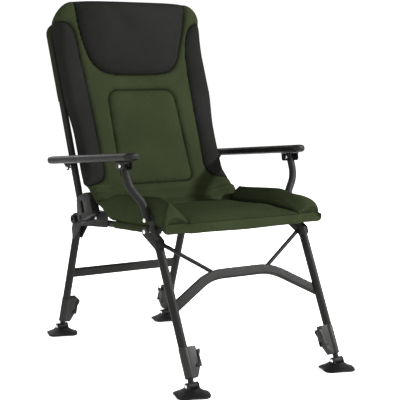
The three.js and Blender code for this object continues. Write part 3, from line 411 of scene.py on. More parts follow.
def turned(profile, start, direction, sides=32):
    """A turned skin: each profile point (radius, height) goes round the axis through start, at
    start + direction * height + radius * (cos, sin) of the two directions across it."""
    axis = unit(direction)
    first = unit(np.cross(axis, [0.0, 0.0, 1.0] if abs(axis[2]) < 0.9 else [1.0, 0.0, 0.0]))
    turn = full_turn(sides)
    around = np.cos(turn)[:, None] * first + np.sin(turn)[:, None] * np.cross(axis, first)
    radius, height = np.asarray(profile, float).T
    start = np.asarray(start, float)
    return ring_skin(start + height[:, None, None] * axis + radius[:, None, None] * around)


def rounded_path(corners, bend, steps=10):
    """Points through corner points. Each inner corner becomes the quadratic curve between the points that
    lie bend away from it, or half way to the next corner where that is nearer."""
    corners = [np.asarray(c, float) for c in corners]
    path = [corners[0]]
    for before, corner, after in zip(corners, corners[1:], corners[2:]):
        reach = min(bend, np.linalg.norm(before - corner) / 2, np.linalg.norm(after - corner) / 2)
        a = corner + unit(before - corner) * reach
        b = corner + unit(after - corner) * reach
        t = np.linspace(0, 1, steps + 1)[:, None]
        path.extend((1 - t) ** 2 * a + 2 * t * (1 - t) * corner + t ** 2 * b)
    path.append(corners[-1])
    return np.array(path)


def swept(path, plane, half_height, half_depth=None, sides=32, edge=0.8, round_power=1.0):
    """A bar along a path in one plane, which is given by the direction square to it. Its section is the
    sign and a power of the cosine times half_height, which lies in the plane, and the same of the sine
    times half_depth across it: an oval for a power of 1, a rounded rectangle for a smaller one. Both ends
    are closed, and a quarter turn of four rings rounds the edge there."""
    half_depth = half_height if half_depth is None else half_depth
    plane = unit(plane)
    tangent = np.gradient(path, axis=0)
    tangent[0], tangent[-1] = path[1] - path[0], path[-1] - path[-2]
    tangent /= np.linalg.norm(tangent, axis=1)[:, None]
    turn = quarter_turn(4)
    inset = (edge * (1 - np.cos(turn)))[:, None]
    places = np.vstack([path[:1], path[0] + tangent[0] * inset, path[1:-1],
                        (path[-1] - tangent[-1] * inset)[::-1], path[-1:]])
    shrink = 1 - edge * (1 - np.sin(turn)) / half_height
    sizes = np.concatenate([[0], shrink, np.ones(len(path) - 2), shrink[::-1], [0]])
    normals = np.cross(plane, np.vstack([tangent[[0] * 5], tangent[1:-1], tangent[[-1] * 5]]))
    angle = full_turn(sides)
    cos, sin = powered(np.cos(angle), round_power), powered(np.sin(angle), round_power)
    section = cos[None, :, None] * half_height * normals[:, None] + sin[None, :, None] * half_depth * plane
    return ring_skin(places[:, None] + sizes[:, None, None] * section)


def joined(*parts):
    """Several (points, faces) as one."""
    points, faces, start = [], [], 0
    for own_points, own_faces in parts:
        points.append(np.asarray(own_points, float))
        faces.extend([[int(i) + start for i in face] for face in own_faces])
        start += len(own_points)
    return np.vstack(points), faces


def place_piece(name, mesh, node, slot=None, material=None, crisp=40):
    """Adds a piece that stands for a CAD node, rides on its body and takes the record's finish. It is
    smooth, apart from edges sharper than the crisp angle."""
    mesh.shade_smooth()
    mesh.set_sharp_from_angle(angle=math.radians(crisp))
    piece = new_object(name, mesh)
    slot = slot or SLOT_OF[node]
    mesh.materials.clear()
    mesh.materials.append(material or finish_of(slot))
    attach(piece, BODY_OF[node])
    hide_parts(node)
    return piece


def one_piece(node, points, faces, part="skin", **options):
    """A piece made from points and faces for a CAD node."""
    name = f"{node}_{part}"
    return place_piece(name, mesh_from(name, points, faces), node, **options)


def both_sides(node, points, faces, **options):
    """A piece drawn for the right side and its mirror image for the left, each for its own CAD node."""
    return [one_piece(f"{node}_{side}", points * [sign, 1, 1], faces, **options) for side, sign in SIDES]


def softened_pair(node, edge, material=None):
    """A copy of a CAD node's mesh on each side, whose points are merged, whose flat faces are joined, and
    whose sharp edges are rounded by a small radius."""
    for side, _ in SIDES:
        name = f"{node}_{side}"
        mesh = frame["nodes"][name].data.copy()
        body = bmesh.new()
        body.from_mesh(mesh)
        bmesh.ops.remove_doubles(body, verts=body.verts, dist=0.005 * MM)
        bmesh.ops.dissolve_limit(body, angle_limit=math.radians(1.0), verts=body.verts, edges=body.edges)
        sharp = [e for e in body.edges if len(e.link_faces) == 2 and e.calc_face_angle(0) > math.radians(35)]
        bmesh.ops.bevel(body, geom=sharp, offset=edge * MM, offset_type="OFFSET", segments=2, profile=0.6,
                        affect="EDGES", clamp_overlap=True)
        bmesh.ops.remove_doubles(body, verts=body.verts, dist=0.002 * MM)
        body.to_mesh(mesh)
        body.free()
        place_piece(f"{name}_skin", mesh, name, crisp=35, material=material)


def dome(radius, height, start):
    """The profile of a domed head on its seat: a quarter of an ellipse."""
    return [(radius * math.cos(a), start + height * math.sin(a)) for a in quarter_turn(7)]


def rivet(from_x, seat_x, place, head=RIVET_HEAD, shank=RIVET_SHANK, both_heads=False):
    """A rivet across the chair: a shank, then a domed head on its seat, or one at each end."""
    length = seat_x - from_x
    low_head = [(radius, -height) for radius, height in dome(head, RIVET_RISE, 0)[::-1]]
    profile = low_head if both_heads else [(0, 0)]
    profile += [(shank, 0), (shank, length), (head - 0.3, length), (head, length + 0.3)]
    profile += dome(head, RIVET_RISE - 0.3, length + 0.3)[1:]
    return turned(profile, at(from_x, place), [1, 0, 0])


def extra_rivets(node, points, faces):
    """Bright rivets that belong to a node on each side."""
    both_sides(node, points, faces, part="rivet", slot="zinc_rivet")


# Seat frame

# Each leg frame's foot pin, the top of its tubes and their place across the chair
LEGS = {"front": (FRONT_FOOT, FRONT_LEG_TOP, OUTER_LEG_X), "rear": (REAR_FOOT, REAR_LEG_TOP, REAR_LEG_X)}


def leg_point(end, x, along, across=0.0):
    """A point of the front or the rear leg frame: a place across the chair, a distance up the leg from the
    foot pin, and one towards the rear, across the leg."""
    foot, top, _ = LEGS[end]
    up = unit(top - foot)
    rear = np.array([up[1], -up[0]])
    return at(x, foot + up * along + rear * across)


def build_seat_frame():
    """Bars, sleeves, brackets, rivets and bolts that the seat carries."""
    path = np.array([at(BAR_X, on_bar(FRONT_PIVOT[0] - 15)), at(BAR_X, on_bar(REAR_PIVOT[0] + 16))])
    both_sides("seat_bar", *swept(path, [1, 0, 0], BAR_RADIUS, edge=1.6))
    softened_pair("front_bracket", 0.7)
    softened_pair("rear_bracket", 0.6)
    extra_rivets("rear_bracket", *rivet(BRACKET_INNER, BRACKET_OUTER, BRACKET_RIVET))
    inner = BAR_X - BAR_RADIUS
    both_sides("front_leg_rivet", *rivet(inner, OUTER_PLATE_X + SHEET + GAP, FRONT_PIVOT, PIVOT_HEAD))
    outer = OUTER_LEG_X + SUPPORT_RADIUS + GAP
    both_sides("support_rivet", *rivet(BRACKET_INNER, outer, SUPPORT_PIVOT, PIVOT_HEAD))
    start = REAR_LEG_X - LEG_RADIUS - GAP - SHEET
    cap = BRACKET_OUTER + GAP - start
    rim = cap + KNOB_HEIGHT
    profile = [
        (0, 0), (BOLT_RADIUS, 0), (BOLT_RADIUS, cap), (KNOB_RADIUS - 2, cap), (KNOB_RADIUS - 0.5, cap + 0.8),
        (KNOB_RADIUS, cap + 2.2), (KNOB_RADIUS, rim - 2.4), (KNOB_RADIUS - 0.7, rim - 0.8),
        (KNOB_RADIUS - 2.4, rim), (6.5, rim), (5.8, rim - 0.6), (5.6, rim - 3.0), (0, rim - 3.0),
    ]
    both_sides("rear_leg_bolt", *turned(profile, at(start, REAR_PIVOT), [1, 0, 0], 40))
    seat = BACK_TUBE_X + BACK_RADIUS + GAP + SHEET + GAP
    both_sides("back_hinge_bolt", *rivet(BRACKET_INNER, seat, BACK_PIVOT, BOLT_HEAD, BOLT_RADIUS))
    build_sleeves()


def build_sleeves():
    """The cloth sleeves sewn to the cushion's sides and pulled over the bars: a tube along the bar whose
    radius swells by slow ripples, with a rolled hem at each end."""
    start, end = on_bar(SLEEVE_FRONT), on_bar(SLEEVE_REAR)
    length = np.linalg.norm(end - start)
    close = np.array([0, 0.6, 2, 5, 8])
    along = np.concatenate([close, np.linspace(12, length - 12, 40), length - close[::-1]])
    hem = 0.7 * bell(along - 5, 3.5) + 0.7 * bell(along - length + 5, 3.5)
    turn = full_turn(36)
    ripple = 0.45 * np.sin(along / 9.0)[:, None] * np.cos(2 * turn + 0.6)
    ripple += 0.3 * np.sin(along / 4.1 + 1.0)[:, None] * np.cos(turn)
    radius = (BAR_RADIUS + GAP + 1.3 + hem)[:, None] + ripple
    middle = at(BAR_X, start) + along[:, None, None] * at(0, BAR_ALONG)
    around = np.cos(turn)[:, None] * np.array([1.0, 0, 0]) + np.sin(turn)[:, None] * at(0, BAR_UP)
    outer = middle + radius[..., None] * around
    inner = middle + (BAR_RADIUS + GAP) * around
    skin = ring_skin(np.concatenate([inner[:1], outer, inner[-1:], inner[1:-1][::-1], inner[:1]]))
    for piece in both_sides("seat_sleeve", *skin, part="cloth", crisp=70):
        lay_threads(piece, BAR_ALONG)


def lay_threads(piece, direction):
    """A UV map in metres for a cloth tube: the way round it, as the place across the chair less the height
    over the tube's line, and the way along it."""
    mesh = piece.data
    places = np.empty(len(mesh.vertices) * 3)
    mesh.vertices.foreach_get("co", places)
    places = places.reshape(-1, 3)
    along = places[:, 1] * direction[0] + places[:, 2] * direction[1]
    across = places[:, 0] + places[:, 1] * direction[1] - places[:, 2] * direction[0]
    write_threads(mesh, np.stack([across, along], axis=-1))


def write_threads(mesh, flat):
    """Gives each corner of a mesh the flat place of its point, as the piece's UV map."""
    corner = np.empty(len(mesh.loops), dtype=np.int32)
    mesh.loops.foreach_get("vertex_index", corner)
    layer = mesh.uv_layers.new(name="threads")
    layer.data.foreach_set("uv", flat[corner].astype(np.float32).ravel())


# Leg frames


def build_leg_frames():
    """Leg tubes, their sockets and plates, inner legs, cross bars and thin struts."""
    for end, (foot, top, x) in LEGS.items():
        rise = np.linalg.norm(top - foot) + 20
        path = np.array([leg_point(end, x, 22), leg_point(end, x, rise - 1)])
        both_sides(f"{end}_leg", *swept(path, [1, 0, 0], LEG_SKIN, sides=40))
        path = np.array([leg_point(end, x, 0), leg_point(end, x, 190)])
        shaft = swept(path, [1, 0, 0], INNER_LEG_RADIUS, edge=0.5)
        barrel = [(0, -13.5), (8.6, -13.5), (9.5, -12.6), (9.5, 12.6), (8.6, 13.5), (0, 13.5)]
        both_sides(f"{end}_inner_leg", *joined(shaft, turned(barrel, at(x, foot), [1, 0, 0])))
    build_front_gussets()
    softened_pair("rear_gusset", 0.6)
    build_cross_bars()


def build_front_gussets():
    """Each front gusset is a capped socket over the leg's top and two plates from it to the pivot. A
    plate's outline is the hull of a circle round the pivot and three points at the socket."""
    corners = [tuple(FRONT_PIVOT + 13 * np.array([math.cos(a), math.sin(a)])) for a in full_turn(28)]
    corners += [tuple(leg_point("front", 0, *place)[1:]) for place in ((392, -12), (374, -10), (373, 3))]
    outline = [corners[i] for i in convex_hull_2d(corners)]
    plates = [upright_plate(outline, x, x + SHEET) for x in (BRACKET_OUTER + GAP, OUTER_PLATE_X)]
    hollow = LEG_RADIUS + GAP
    socket = [(hollow, 0), (13.1, 0), (13.4, 0.4), (13.4, 20.0), (12.4, 21.2), (0, 21.2), (0, 19.3)]
    socket += [(hollow, 19.3), (hollow, 0)]
    start = leg_point("front", OUTER_LEG_X, 372)
    direction = leg_point("front", OUTER_LEG_X, 373) - start
    both_sides("front_gusset", *joined(*plates, turned(socket, start, direction, 40)))


def build_cross_bars():
    """The front bar rises to a straight middle between two bends, and the rear one is straight. Both are
    flattened tubes: a rounded rectangle carried along the path. The struts are thin rods."""
    flat = {"half_depth": CROSS_BAR_DEPTH / 2, "sides": 48, "round_power": 0.42}
    across = leg_point("front", 0, 0, 1) - leg_point("front", 0, 0, 0)
    bends = ((-OUTER_LEG_X, 206), (-103, 287), (103, 287), (OUTER_LEG_X, 206))
    corners = [leg_point("front", x, along, 6) for x, along in bends]
    one_piece("front_cross_bar", *swept(rounded_path(corners, 42), across, FRONT_BAR_HEIGHT / 2, **flat))
    plane = leg_point("rear", 0, 0, 1) - leg_point("rear", 0, 0, 0)
    path = np.array([leg_point("rear", x, 190) for x in (-REAR_LEG_X, REAR_LEG_X)])
    one_piece("rear_cross_bar", *swept(path, plane, REAR_BAR_HEIGHT / 2, **flat))
    low, high = leg_point("front", 95, 296, 6), leg_point("front", 232.5, 388, 6)
    path = low + (high - low) * np.linspace(0, 1, 9)[:, None]
    both_sides("front_strut", *swept(path, across, STRUT_RADIUS, edge=1.2, sides=24))


# Clamps and feet


def build_clamps():
    """The moulded clamps and their cam levers, from the CAD shapes with rounded edges."""
    colour = chair_settings().look.clamp
    body = made_once("clamp", lambda: moulded_plastic("Moulded polyamide, dark grey grained", colour, 1.3, 0.5))
    for end in LEGS:
        softened_pair(f"{end}_clamp", 0.9, material=body)
        softened_pair(f"{end}_clamp_lever", 0.7)


def build_mud_feet():
    """Each foot is a round dish. Its height falls from the hub to the rim in a soft cone with eight low
    ribs. By a cosine of the angle the rim rises and draws in four times round, which leaves four lobes.
    Two ears and a pin hold the leg."""
    turn = full_turn(96)
    notch = (1 + np.cos(4 * (turn - math.radians(71)))) / 2
    top_radius = np.array([0, 10, 14.2, 15.2, 18.5, 21, 26, 32, 38, 44, 49, 52, 53.4, FOOT_RADIUS])
    top_height = np.array([11.5, 11.5, 12.5, 21.6, 22.4, 20.8, 17.2, 13.6, 10.7, 8.2, 6.2, 5.0, 4.2, 3.0])
    low_radius = np.array([53.6, 52.4, 48, 42, 37, 33, 20, 0])
    low_height = np.array([1.2, 0.2, 0.0, 0.0, 0.0, 0.0, 0.0, 0.0])
    radius = np.concatenate([top_radius, low_radius])[:, None]
    height = np.concatenate([top_height, low_height])[:, None]
    on_top = (np.arange(len(radius)) < len(top_radius))[:, None]
    lift = share((radius - 37) / (FOOT_RADIUS - 37)) ** 1.5
    ribbed = share((radius - 24) / 6) * share((51 - radius) / 4) * on_top
    z = height + lift * (4.0 * notch) + ribbed * (0.5 * bell(np.mod(turn * 8 / math.pi, 2) - 1, 0.12))
    lobed = radius * (1 - 0.13 * share((radius - 28) / 24) * notch)
    dish = ring_skin(np.stack([lobed * np.cos(turn), lobed * np.sin(turn), z], axis=-1))
    points, faces = joined(dish, foot_ear(-1), foot_ear(1))
    pin = [(0, -19.3), (3.2, -19.3), (5.4, -19.0), (5.4, -18.6), (3.6, -18.4), (3.6, 18.4), (5.4, 18.6)]
    pin += [(5.4, 19.0), (3.2, 19.8), (0, 20.2)]
    for end, (foot, _, x) in LEGS.items():
        for side, sign in SIDES:
            name = f"{end}_mud_foot_{side}"
            one_piece(name, points + [sign * x, foot[0], 0], faces, crisp=32)
            one_piece(name, *turned(pin, at(sign * x, foot), [-1, 0, 0], 24), part="pin", slot="zinc_rivet")


def upright_plate(outline, inner, outer, edge=0.6):
    """A plate between two places across the chair. Its rims shrink a little towards the middle of its
    outline, so that its edges are bevelled."""
    outline = np.array(outline, float)
    centre = outline.mean(axis=0)
    rim = 1 - edge / np.linalg.norm(outline - centre, axis=1).min()
    half = [(0, 0.0), (0, rim), (edge, 1.0)]
    rings = []
    for x, shrink in [(inner + x, size) for x, size in half] + [(outer - x, size) for x, size in half[::-1]]:
        flat = centre + (outline - centre) * shrink
        rings.append(np.column_stack([np.full(len(flat), x), flat]))
    return ring_skin(np.array(rings))


def foot_ear(sign):
    """One ear of a mud foot: an upright plate whose outline is a half circle on a wider base."""
    outline = [(22.0, 9.0), (14.5, 18.0)]
    outline += [(9.8 * math.cos(a), 26 + 9.8 * math.sin(a)) for a in np.linspace(0, math.pi, 15)]
    outline += [(-14.5, 18.0), (-22.0, 9.0)]
    return upright_plate(outline, *sorted((sign * 14.0, sign * 18.5)), 0.7)


# Backrest frame


def build_back_frame():
    """The back tube goes up one side, across the top and down the other, with hinge housings at its feet.
    A pin on each side carries an armrest."""
    low, high = on_back(-14, 0), on_back(BACK_TUBE_TOP, 0)
    corners = [at(-BACK_TUBE_X, low), at(-BACK_TUBE_X, high), at(BACK_TUBE_X, high), at(BACK_TUBE_X, low)]
    path = rounded_path(corners, BACK_TUBE_BEND, 14)
    one_piece("back_frame", *swept(path, at(0, BACK_FORWARD), BACK_RADIUS, sides=40))
    softened_pair("back_hinge_housing", 2.2)
    both_sides("arm_rear_pin", *rivet(BACK_TUBE_X - BACK_RADIUS, LUG_OUTER + GAP, ARM_REAR_PIVOT))


def build_pocket():
    """The cloth pocket over the top of the back frame: at each distance along the back its section is a
    flat oval, |x / width| ** 8 + |h / thickness| ** 2.2 = 1, whose width narrows over the tube's corner
    and whose thickness closes at the top. It sags between the tubes and has slow pulls in it. Its lower end
    is open, with a hem."""
    start, top, corner, half, depth = POCKET_LOW, POCKET_TOP, 42.0, 260.0, 14.0
    rise = top - start
    rounding = rise - corner + corner * np.sin(quarter_turn(15)[1:])
    along = np.concatenate([[0, 4, 9, 13, 17], np.linspace(24, rise - corner, 22), rounding]) + start
    fall = share((along - (top - corner)) / corner)
    width = (half - corner + corner * np.sqrt(1 - fall ** 2))[:, None]
    thick = (depth * np.sqrt(1 - (1 - share((top - along) / 15.0)) ** 2))[:, None]
    along = along[:, None]
    angle = full_turn(160)
    sin = np.sin(angle)
    x = width * powered(np.cos(angle), 0.25)
    across = 1 - (np.abs(x) / width) ** 2
    sag = np.where(sin < 0, 1, 0.6) * 3.2 * across * np.sin(share((along - start) / rise) * math.pi)
    hem = 0.9 * bell(along - start - 9, 6.0)
    pull = 0.6 * np.sin(x / 17.0 + along / 31.0) * share((along - start) / 60)
    h = powered(sin, 0.9) * (thick - sag + pull * (np.abs(sin) > 0.4)) - hem * sin * 0.5
    side = BACK_PIVOT + BACK_ALONG * along[..., None] + BACK_FORWARD * h[..., None]
    skin = ring_skin(np.stack([x, side[..., 0], side[..., 1]], axis=-1))
    piece = one_piece("back_pocket", *skin, part="cloth", crisp=80)
    lay_threads(piece, BACK_ALONG)
    wall = piece.modifiers.new("cloth thickness", "SOLIDIFY")
    wall.thickness = 1.2 * MM
    wall.offset = -1.0


# Cushion

# The cushion's line: its heights over the seat bars and in front of the back tubes, and the waist's radius
SPINE_SEAT = 36.0
SPINE_BACK = 40.0
WAIST_RADIUS = 170.0
# Its ends, as a place on Y and a distance up the back tubes
FRONT_Y = -303.0
BACK_TOP = 650.0
TOP_CORNER = 64.0
FRONT_CORNER = 20.0
SEAT_HALF_WIDTH = 229.0
WING = 29.0
# Zones of the sitting side, their rises over the seams, of which the seat bolster's is a setting, and the
# widths of their rounded shoulders
ZONES = PANEL, HEAD_PAD, BACK_BOLSTER, SEAT_BOLSTER = 1, 2, 3, 4
RISES = (12.0, 34.0, 15.0)
SHOULDERS = (26, 84, 34, 40)
# The seam attribute counts distances up to here
FAR_FROM_SEAM = 40.0
# The cover's simulation: a stout cloth under pressure
CLOTH_FRAMES = 20
CLOTH = {
    "quality": 5, "mass": 0.35, "use_pressure": True, "pin_stiffness": 1.0, "tension_stiffness": 22,
    "compression_stiffness": 22, "shear_stiffness": 9, "bending_stiffness": 0.6,
}
# Waves of hand-filled foam: turn per mm across and per mm along, phase and height
FOAM_WAVES = (
    (0.031, 0.012, 0.4, 0.55), (-0.017, 0.037, 1.9, 0.5), (0.052, 0.029, 3.1, 0.3), (0.023, -0.061, 5.2, 0.3),
    (0.083, 0.047, 0.9, 0.15),
)
# Creases across the cushion: place along it, depth and width
CREASES = ((-341.0, 3.4, 8.0), (-86.0, 5.5, 12.0), (-18.0, 7.5, 11.0), (34.0, 3.4, 11.0))
# Short folds beside the waist: two ends, as distances from the middle and along the cushion, and the depth
FOLDS = (
    (((150, 20), (246, 34)), 4.5), (((128, -2), (240, 8)), 3.2), (((185, 52), (246, 60)), 3.0),
    (((150, -62), (190, -22)), 3.0),
)


def spine_facts():
    """The cushion's reference line in the side view: a line above the seat bars, an arc at the waist and a
    line in front of the back tubes. The arc touches both lines, and its places are found from where they
    cross and from the angle between them."""
    seat_point = FRONT_PIVOT + BAR_UP * SPINE_SEAT
    back_point = BACK_PIVOT + BACK_FORWARD * SPINE_BACK
    reach = np.linalg.solve(np.column_stack([BAR_ALONG, -BACK_ALONG]), back_point - seat_point)
    turn = math.acos(float(BAR_ALONG @ BACK_ALONG))
    tangent = WAIST_RADIUS * math.tan(turn / 2)
    back_start = reach[1] + tangent
    seat_end = back_start - WAIST_RADIUS * turn
    touch = seat_point + BAR_ALONG * (reach[0] - tangent)
    centre = touch + BAR_UP * WAIST_RADIUS
    return back_start, seat_end, turn, centre, touch[0]


BACK_START, SEAT_END, WAIST_TURN, WAIST_CENTRE, TOUCH_Y = spine_facts()


def along_of_seat(y):
    """The distance along the cushion's line of a place on Y on the seat. On the back it is the distance
    from the hinge along the tubes."""
    return SEAT_END - (TOUCH_Y - y) / BAR_ALONG[0]


FRONT_END = along_of_seat(FRONT_Y)


def spine(s):
    """Places on the cushion's line and the direction towards the sitter there, at distances s along it."""
    seat_angle = math.atan2(BAR_ALONG[1], BAR_ALONG[0])
    angle = seat_angle + np.clip((s - SEAT_END) / WAIST_RADIUS, 0, WAIST_TURN)
    normal = np.stack([-np.sin(angle), np.cos(angle)], axis=-1)
    place = WAIST_CENTRE - WAIST_RADIUS * normal
    place = place + np.maximum(s - BACK_START, 0)[..., None] * BACK_ALONG
    place = place - np.maximum(SEAT_END - s, 0)[..., None] * BAR_ALONG
    return place, normal


def step(value, low, high):
    """A smooth step from 0 at low to 1 at high: 3t^2 - 2t^3."""
    t = share((value - low) / (high - low))
    return t * t * (3 - 2 * t)


def curve_through(corners):
    """A smooth line through points, eight places to each stretch: the cubic whose slope at each point is
    half the way between its neighbours."""
    p = np.asarray(corners, float)
    padded = np.vstack([2 * p[0] - p[1], p, 2 * p[-1] - p[-2]])
    t = np.linspace(0, 1, 8, endpoint=False)[:, None]
    parts = []
    for a, b, c, d in zip(padded, padded[1:], padded[2:], padded[3:]):
        square, cube = 2 * a - 5 * b + 4 * c - d, 3 * b - a - 3 * c + d
        parts.append(0.5 * (2 * b + (c - a) * t + square * t ** 2 + cube * t ** 3))
    return np.vstack(parts + [p[-1:]])


# The seams, on the right half, as (distance from the middle, distance along the cushion's line)
HEAD_SEAM = curve_through([
    (0, 424), (60, 425), (90, 428), (115, 434), (131, 443), (144, 455), (155, 472), (162, 488), (171, 515),
    (180, 545), (188, 580), (193, 615), (196, 650), (198, 720),
])
BOLSTER_SEAM = curve_through([
    (300, 71), (262, 72), (243, 73.5), (222, 77), (206, 83), (193, 92), (184, 105), (179, 122), (178, 142),
    (180, 207), (182, 320), (186, 425), (192, 507), (197, 540), (205, 563), (215, 576), (228, 584), (245, 588),
    (262, 590), (300, 592),
])
SEAT_SEAM = curve_through([
    (300, 10), (262, 5), (245, -1), (228, -16), (212, -30), (200, -42), (192, -55), (186, -75), (181, -107),
    (174, -180), (169, -229), (168, -284), (170, -325), (176, -358), (187, -392), (192, -415),
])
# The back panel: half widths and ends
PANEL_HALF_LOW = 125.0
PANEL_HALF_HIGH = 119.0
PANEL_LOW = 70.0
PANEL_HIGH = 376.0
PANEL_CORNER = 36.0


def to_line(x, s, line):
    """The distance from each point to a line of corner points, and how far along the line its nearest
    place is: each point is projected on every stretch at once, and the nearest is taken."""
    start, run = line[:-1], line[1:] - line[:-1]
    length = np.linalg.norm(run, axis=1)
    before = np.concatenate([[0], np.cumsum(length)[:-1]])
    dx = x.reshape(-1, 1) - start[:, 0]
    ds = s.reshape(-1, 1) - start[:, 1]
    t = share((dx * run[:, 0] + ds * run[:, 1]) / length ** 2)
    distance = np.hypot(dx - t * run[:, 0], ds - t * run[:, 1])
    nearest = distance.argmin(axis=1)
    row = np.arange(len(nearest))
    return distance[row, nearest].reshape(x.shape), (before + t * length)[row, nearest].reshape(x.shape)


def panel_half(s):
    """The half width of the back panel at a height: a little narrower towards its top."""
    return PANEL_HALF_LOW + (PANEL_HALF_HIGH - PANEL_HALF_LOW) * (s - PANEL_LOW) / (PANEL_HIGH - PANEL_LOW)


def panel_line():
    """The back panel's seam on the right half: a tapered rectangle with rounded corners."""
    turn = quarter_turn(9)
    top, low = PANEL_HALF_HIGH - PANEL_CORNER, PANEL_HALF_LOW - PANEL_CORNER
    high_s, low_s = PANEL_HIGH - PANEL_CORNER, PANEL_LOW + PANEL_CORNER
    upper = [(top + PANEL_CORNER * math.sin(a), high_s + PANEL_CORNER * math.cos(a)) for a in turn]
    lower = [(low + PANEL_CORNER * math.cos(a), low_s - PANEL_CORNER * math.sin(a)) for a in turn]
    return np.array([(0, PANEL_HIGH)] + upper + lower + [(0, PANEL_LOW)])


def seam_x(s, seam):
    """How far from the middle a seam is at distances along the cushion."""
    rising = seam[np.argsort(seam[:, 1])]
    return np.interp(s, rising[:, 1], rising[:, 0])


def seam_field(x, s):
    """For each point: the distance to the nearest seam, the way along it, the number of its zone (0 is open
    cloth), and the signed distance into the charcoal cloth."""
    x = np.abs(x)
    found = [to_line(x, s, line) for line in (panel_line(), HEAD_SEAM, BOLSTER_SEAM, SEAT_SEAM)]
    distance = np.stack([f[0] for f in found])
    nearest = distance.argmin(axis=0)
    along = np.take_along_axis(np.stack([f[1] for f in found]), nearest[None], 0)[0]
    edge_x = x - (panel_half(s) - PANEL_CORNER)
    edge_s = np.abs(s - (PANEL_LOW + PANEL_HIGH) / 2) - ((PANEL_HIGH - PANEL_LOW) / 2 - PANEL_CORNER)
    in_panel = np.hypot(np.maximum(edge_x, 0), np.maximum(edge_s, 0)) < PANEL_CORNER
    in_head = (s > 424) & (x < seam_x(s, HEAD_SEAM))
    in_bolster = (s > 71) & (s < 592) & (x > seam_x(s, BOLSTER_SEAM))
    in_seat = (s < 10) & (x > seam_x(s, SEAT_SEAM))
    zone = np.select([in_panel, in_head, in_bolster, in_seat], ZONES, 0)
    charcoal = (zone == HEAD_PAD) | (zone == BACK_BOLSTER)
    dark = np.minimum(distance[1], distance[2]) * np.where(charcoal, 1, -1)
    return distance.min(axis=0), along, zone, dark


def half_width(s):
    """The cushion's half width: wings at the front, narrow between the brackets, and wide on the back,
    with a slight waist at its foot."""
    wings = 1 - step(s, along_of_seat(-290), along_of_seat(-238))
    width = SEAT_HALF_WIDTH + WING * wings + 18.0 * step(s, -90, -20) + 10.0 * step(s, 60, 104)
    return width - 12.0 * step(s, 70, 110) * (1 - step(s, 240, 370))


def trimmed_width(s):
    """The half width with the corners at both ends rounded off: the side of a quarter circle."""
    width = half_width(s)
    top = np.clip(TOP_CORNER - (BACK_TOP - s), 0, TOP_CORNER)
    front = np.clip(FRONT_CORNER - (s - FRONT_END), 0, FRONT_CORNER)
    width = width - TOP_CORNER + np.sqrt(TOP_CORNER ** 2 - top ** 2)
    return width - FRONT_CORNER + np.sqrt(FRONT_CORNER ** 2 - front ** 2)


def from_edge(x, s):
    """How far inside the cushion's outline a point is."""
    side = half_width(s) - np.abs(x)
    top, front = BACK_TOP - s, s - FRONT_END
    inside = np.minimum(side, np.minimum(top, front))
    for end, corner in ((top, TOP_CORNER), (front, FRONT_CORNER)):
        cut = (side < corner) & (end < corner)
        inside = np.where(cut, np.minimum(inside, corner - np.hypot(corner - side, corner - end)), inside)
    return np.maximum(inside, 0)


def bulge(distance, radius, power=0.5):
    """A rounded shoulder, 0 at a seam and 1 at the radius: a quarter circle for a power of 0.5, and a
    softer rise for a larger one."""
    return (1 - (1 - share(distance / radius)) ** 2) ** power


def ridges(x, s):
    """Slow unevenness of hand-filled foam: a sum of sine waves at different angles."""
    return sum(height * np.sin(a * x + b * s + c) for a, b, c, height in FOAM_WAVES)


def waist_share(s, low, high):
    """A window over the waist: 1 between low and high, with smooth sides 35 mm wide."""
    return step(s, low - 35, low) * (1 - step(s, high, high + 35))


def cushion_heights(x, s, cushion):
    """The heights of the sitting side, the edge seam and the underside over the cushion's line. The
    sitting side is a base level, with a rounded shoulder from each seam up to the height of its zone, and
    with ridges, puckers at the seams, creases and folds."""
    distance, along, zone, dark = seam_field(x, s)
    side = np.abs(x)
    seat = 1 - step(s, -90, 20)
    base = 9.5 * (1 - seat) + 1.5 * seat + 40.0 * (np.maximum(s - 480, 0) / 165) ** 1.3
    open_rise = 8.5 + 4.0 * seat + 3.0 * step(s, 400, 560)
    open_rise = open_rise + 11.0 * step(side, 165, 232) * waist_share(s, -45, 55)
    seat_rise = (cushion.bolster_rise / MM) * (0.5 + 0.5 * step(-s, -5, 75))
    zones = [zone == number for number in ZONES]
    rise = np.select(zones, [*RISES, seat_rise], open_rise)
    radius = np.select(zones, SHOULDERS, 15.0 + 20 * seat)
    top = base + rise * bulge(distance, radius, 0.62)
    top += ridges(x, s) * share(distance / 20)
    top += 0.55 * np.sin(along * 0.31 + 1.7 * np.sin(along * 0.071)) * bell(distance - 7, 8)
    free = (zone != SEAT_BOLSTER) * share(distance / 10)
    for place, depth, width in CREASES:
        line = place + 9 * (side / 230) ** 2
        top -= depth * bell(s - line, width) * free * (0.6 + 0.4 * np.cos(x / 70))
    for ends, depth in FOLDS:
        fold, _ = to_line(side, s, np.array(ends, float))
        top -= depth * bell(fold, 7.0) * free
    front = 1 - step(s, along_of_seat(-300), along_of_seat(-245))
    narrow = 1 - step(s, -110, -70)
    sides = step(side, 190, 228)
    head = step(s, 540, BACK_TOP)
    middle = -8.0 * narrow + 13.0 * sides * waist_share(s, -15, 70) + 38 * head - 3.0 * front
    sag = (1 - step(side, 176, 205)) * step(s, -345, -300) * (1 - step(s, -120, -80))
    under = -26.0 - 13.0 * front - 8.0 * sag - 1.0 * np.cos(x / 43.0) * np.cos(s / 57.0)
    under = under + 26.0 * sides * waist_share(s, -24, 70) + 18.0 * step(s, 600, BACK_TOP)
    return top, middle, under, distance, along, dark


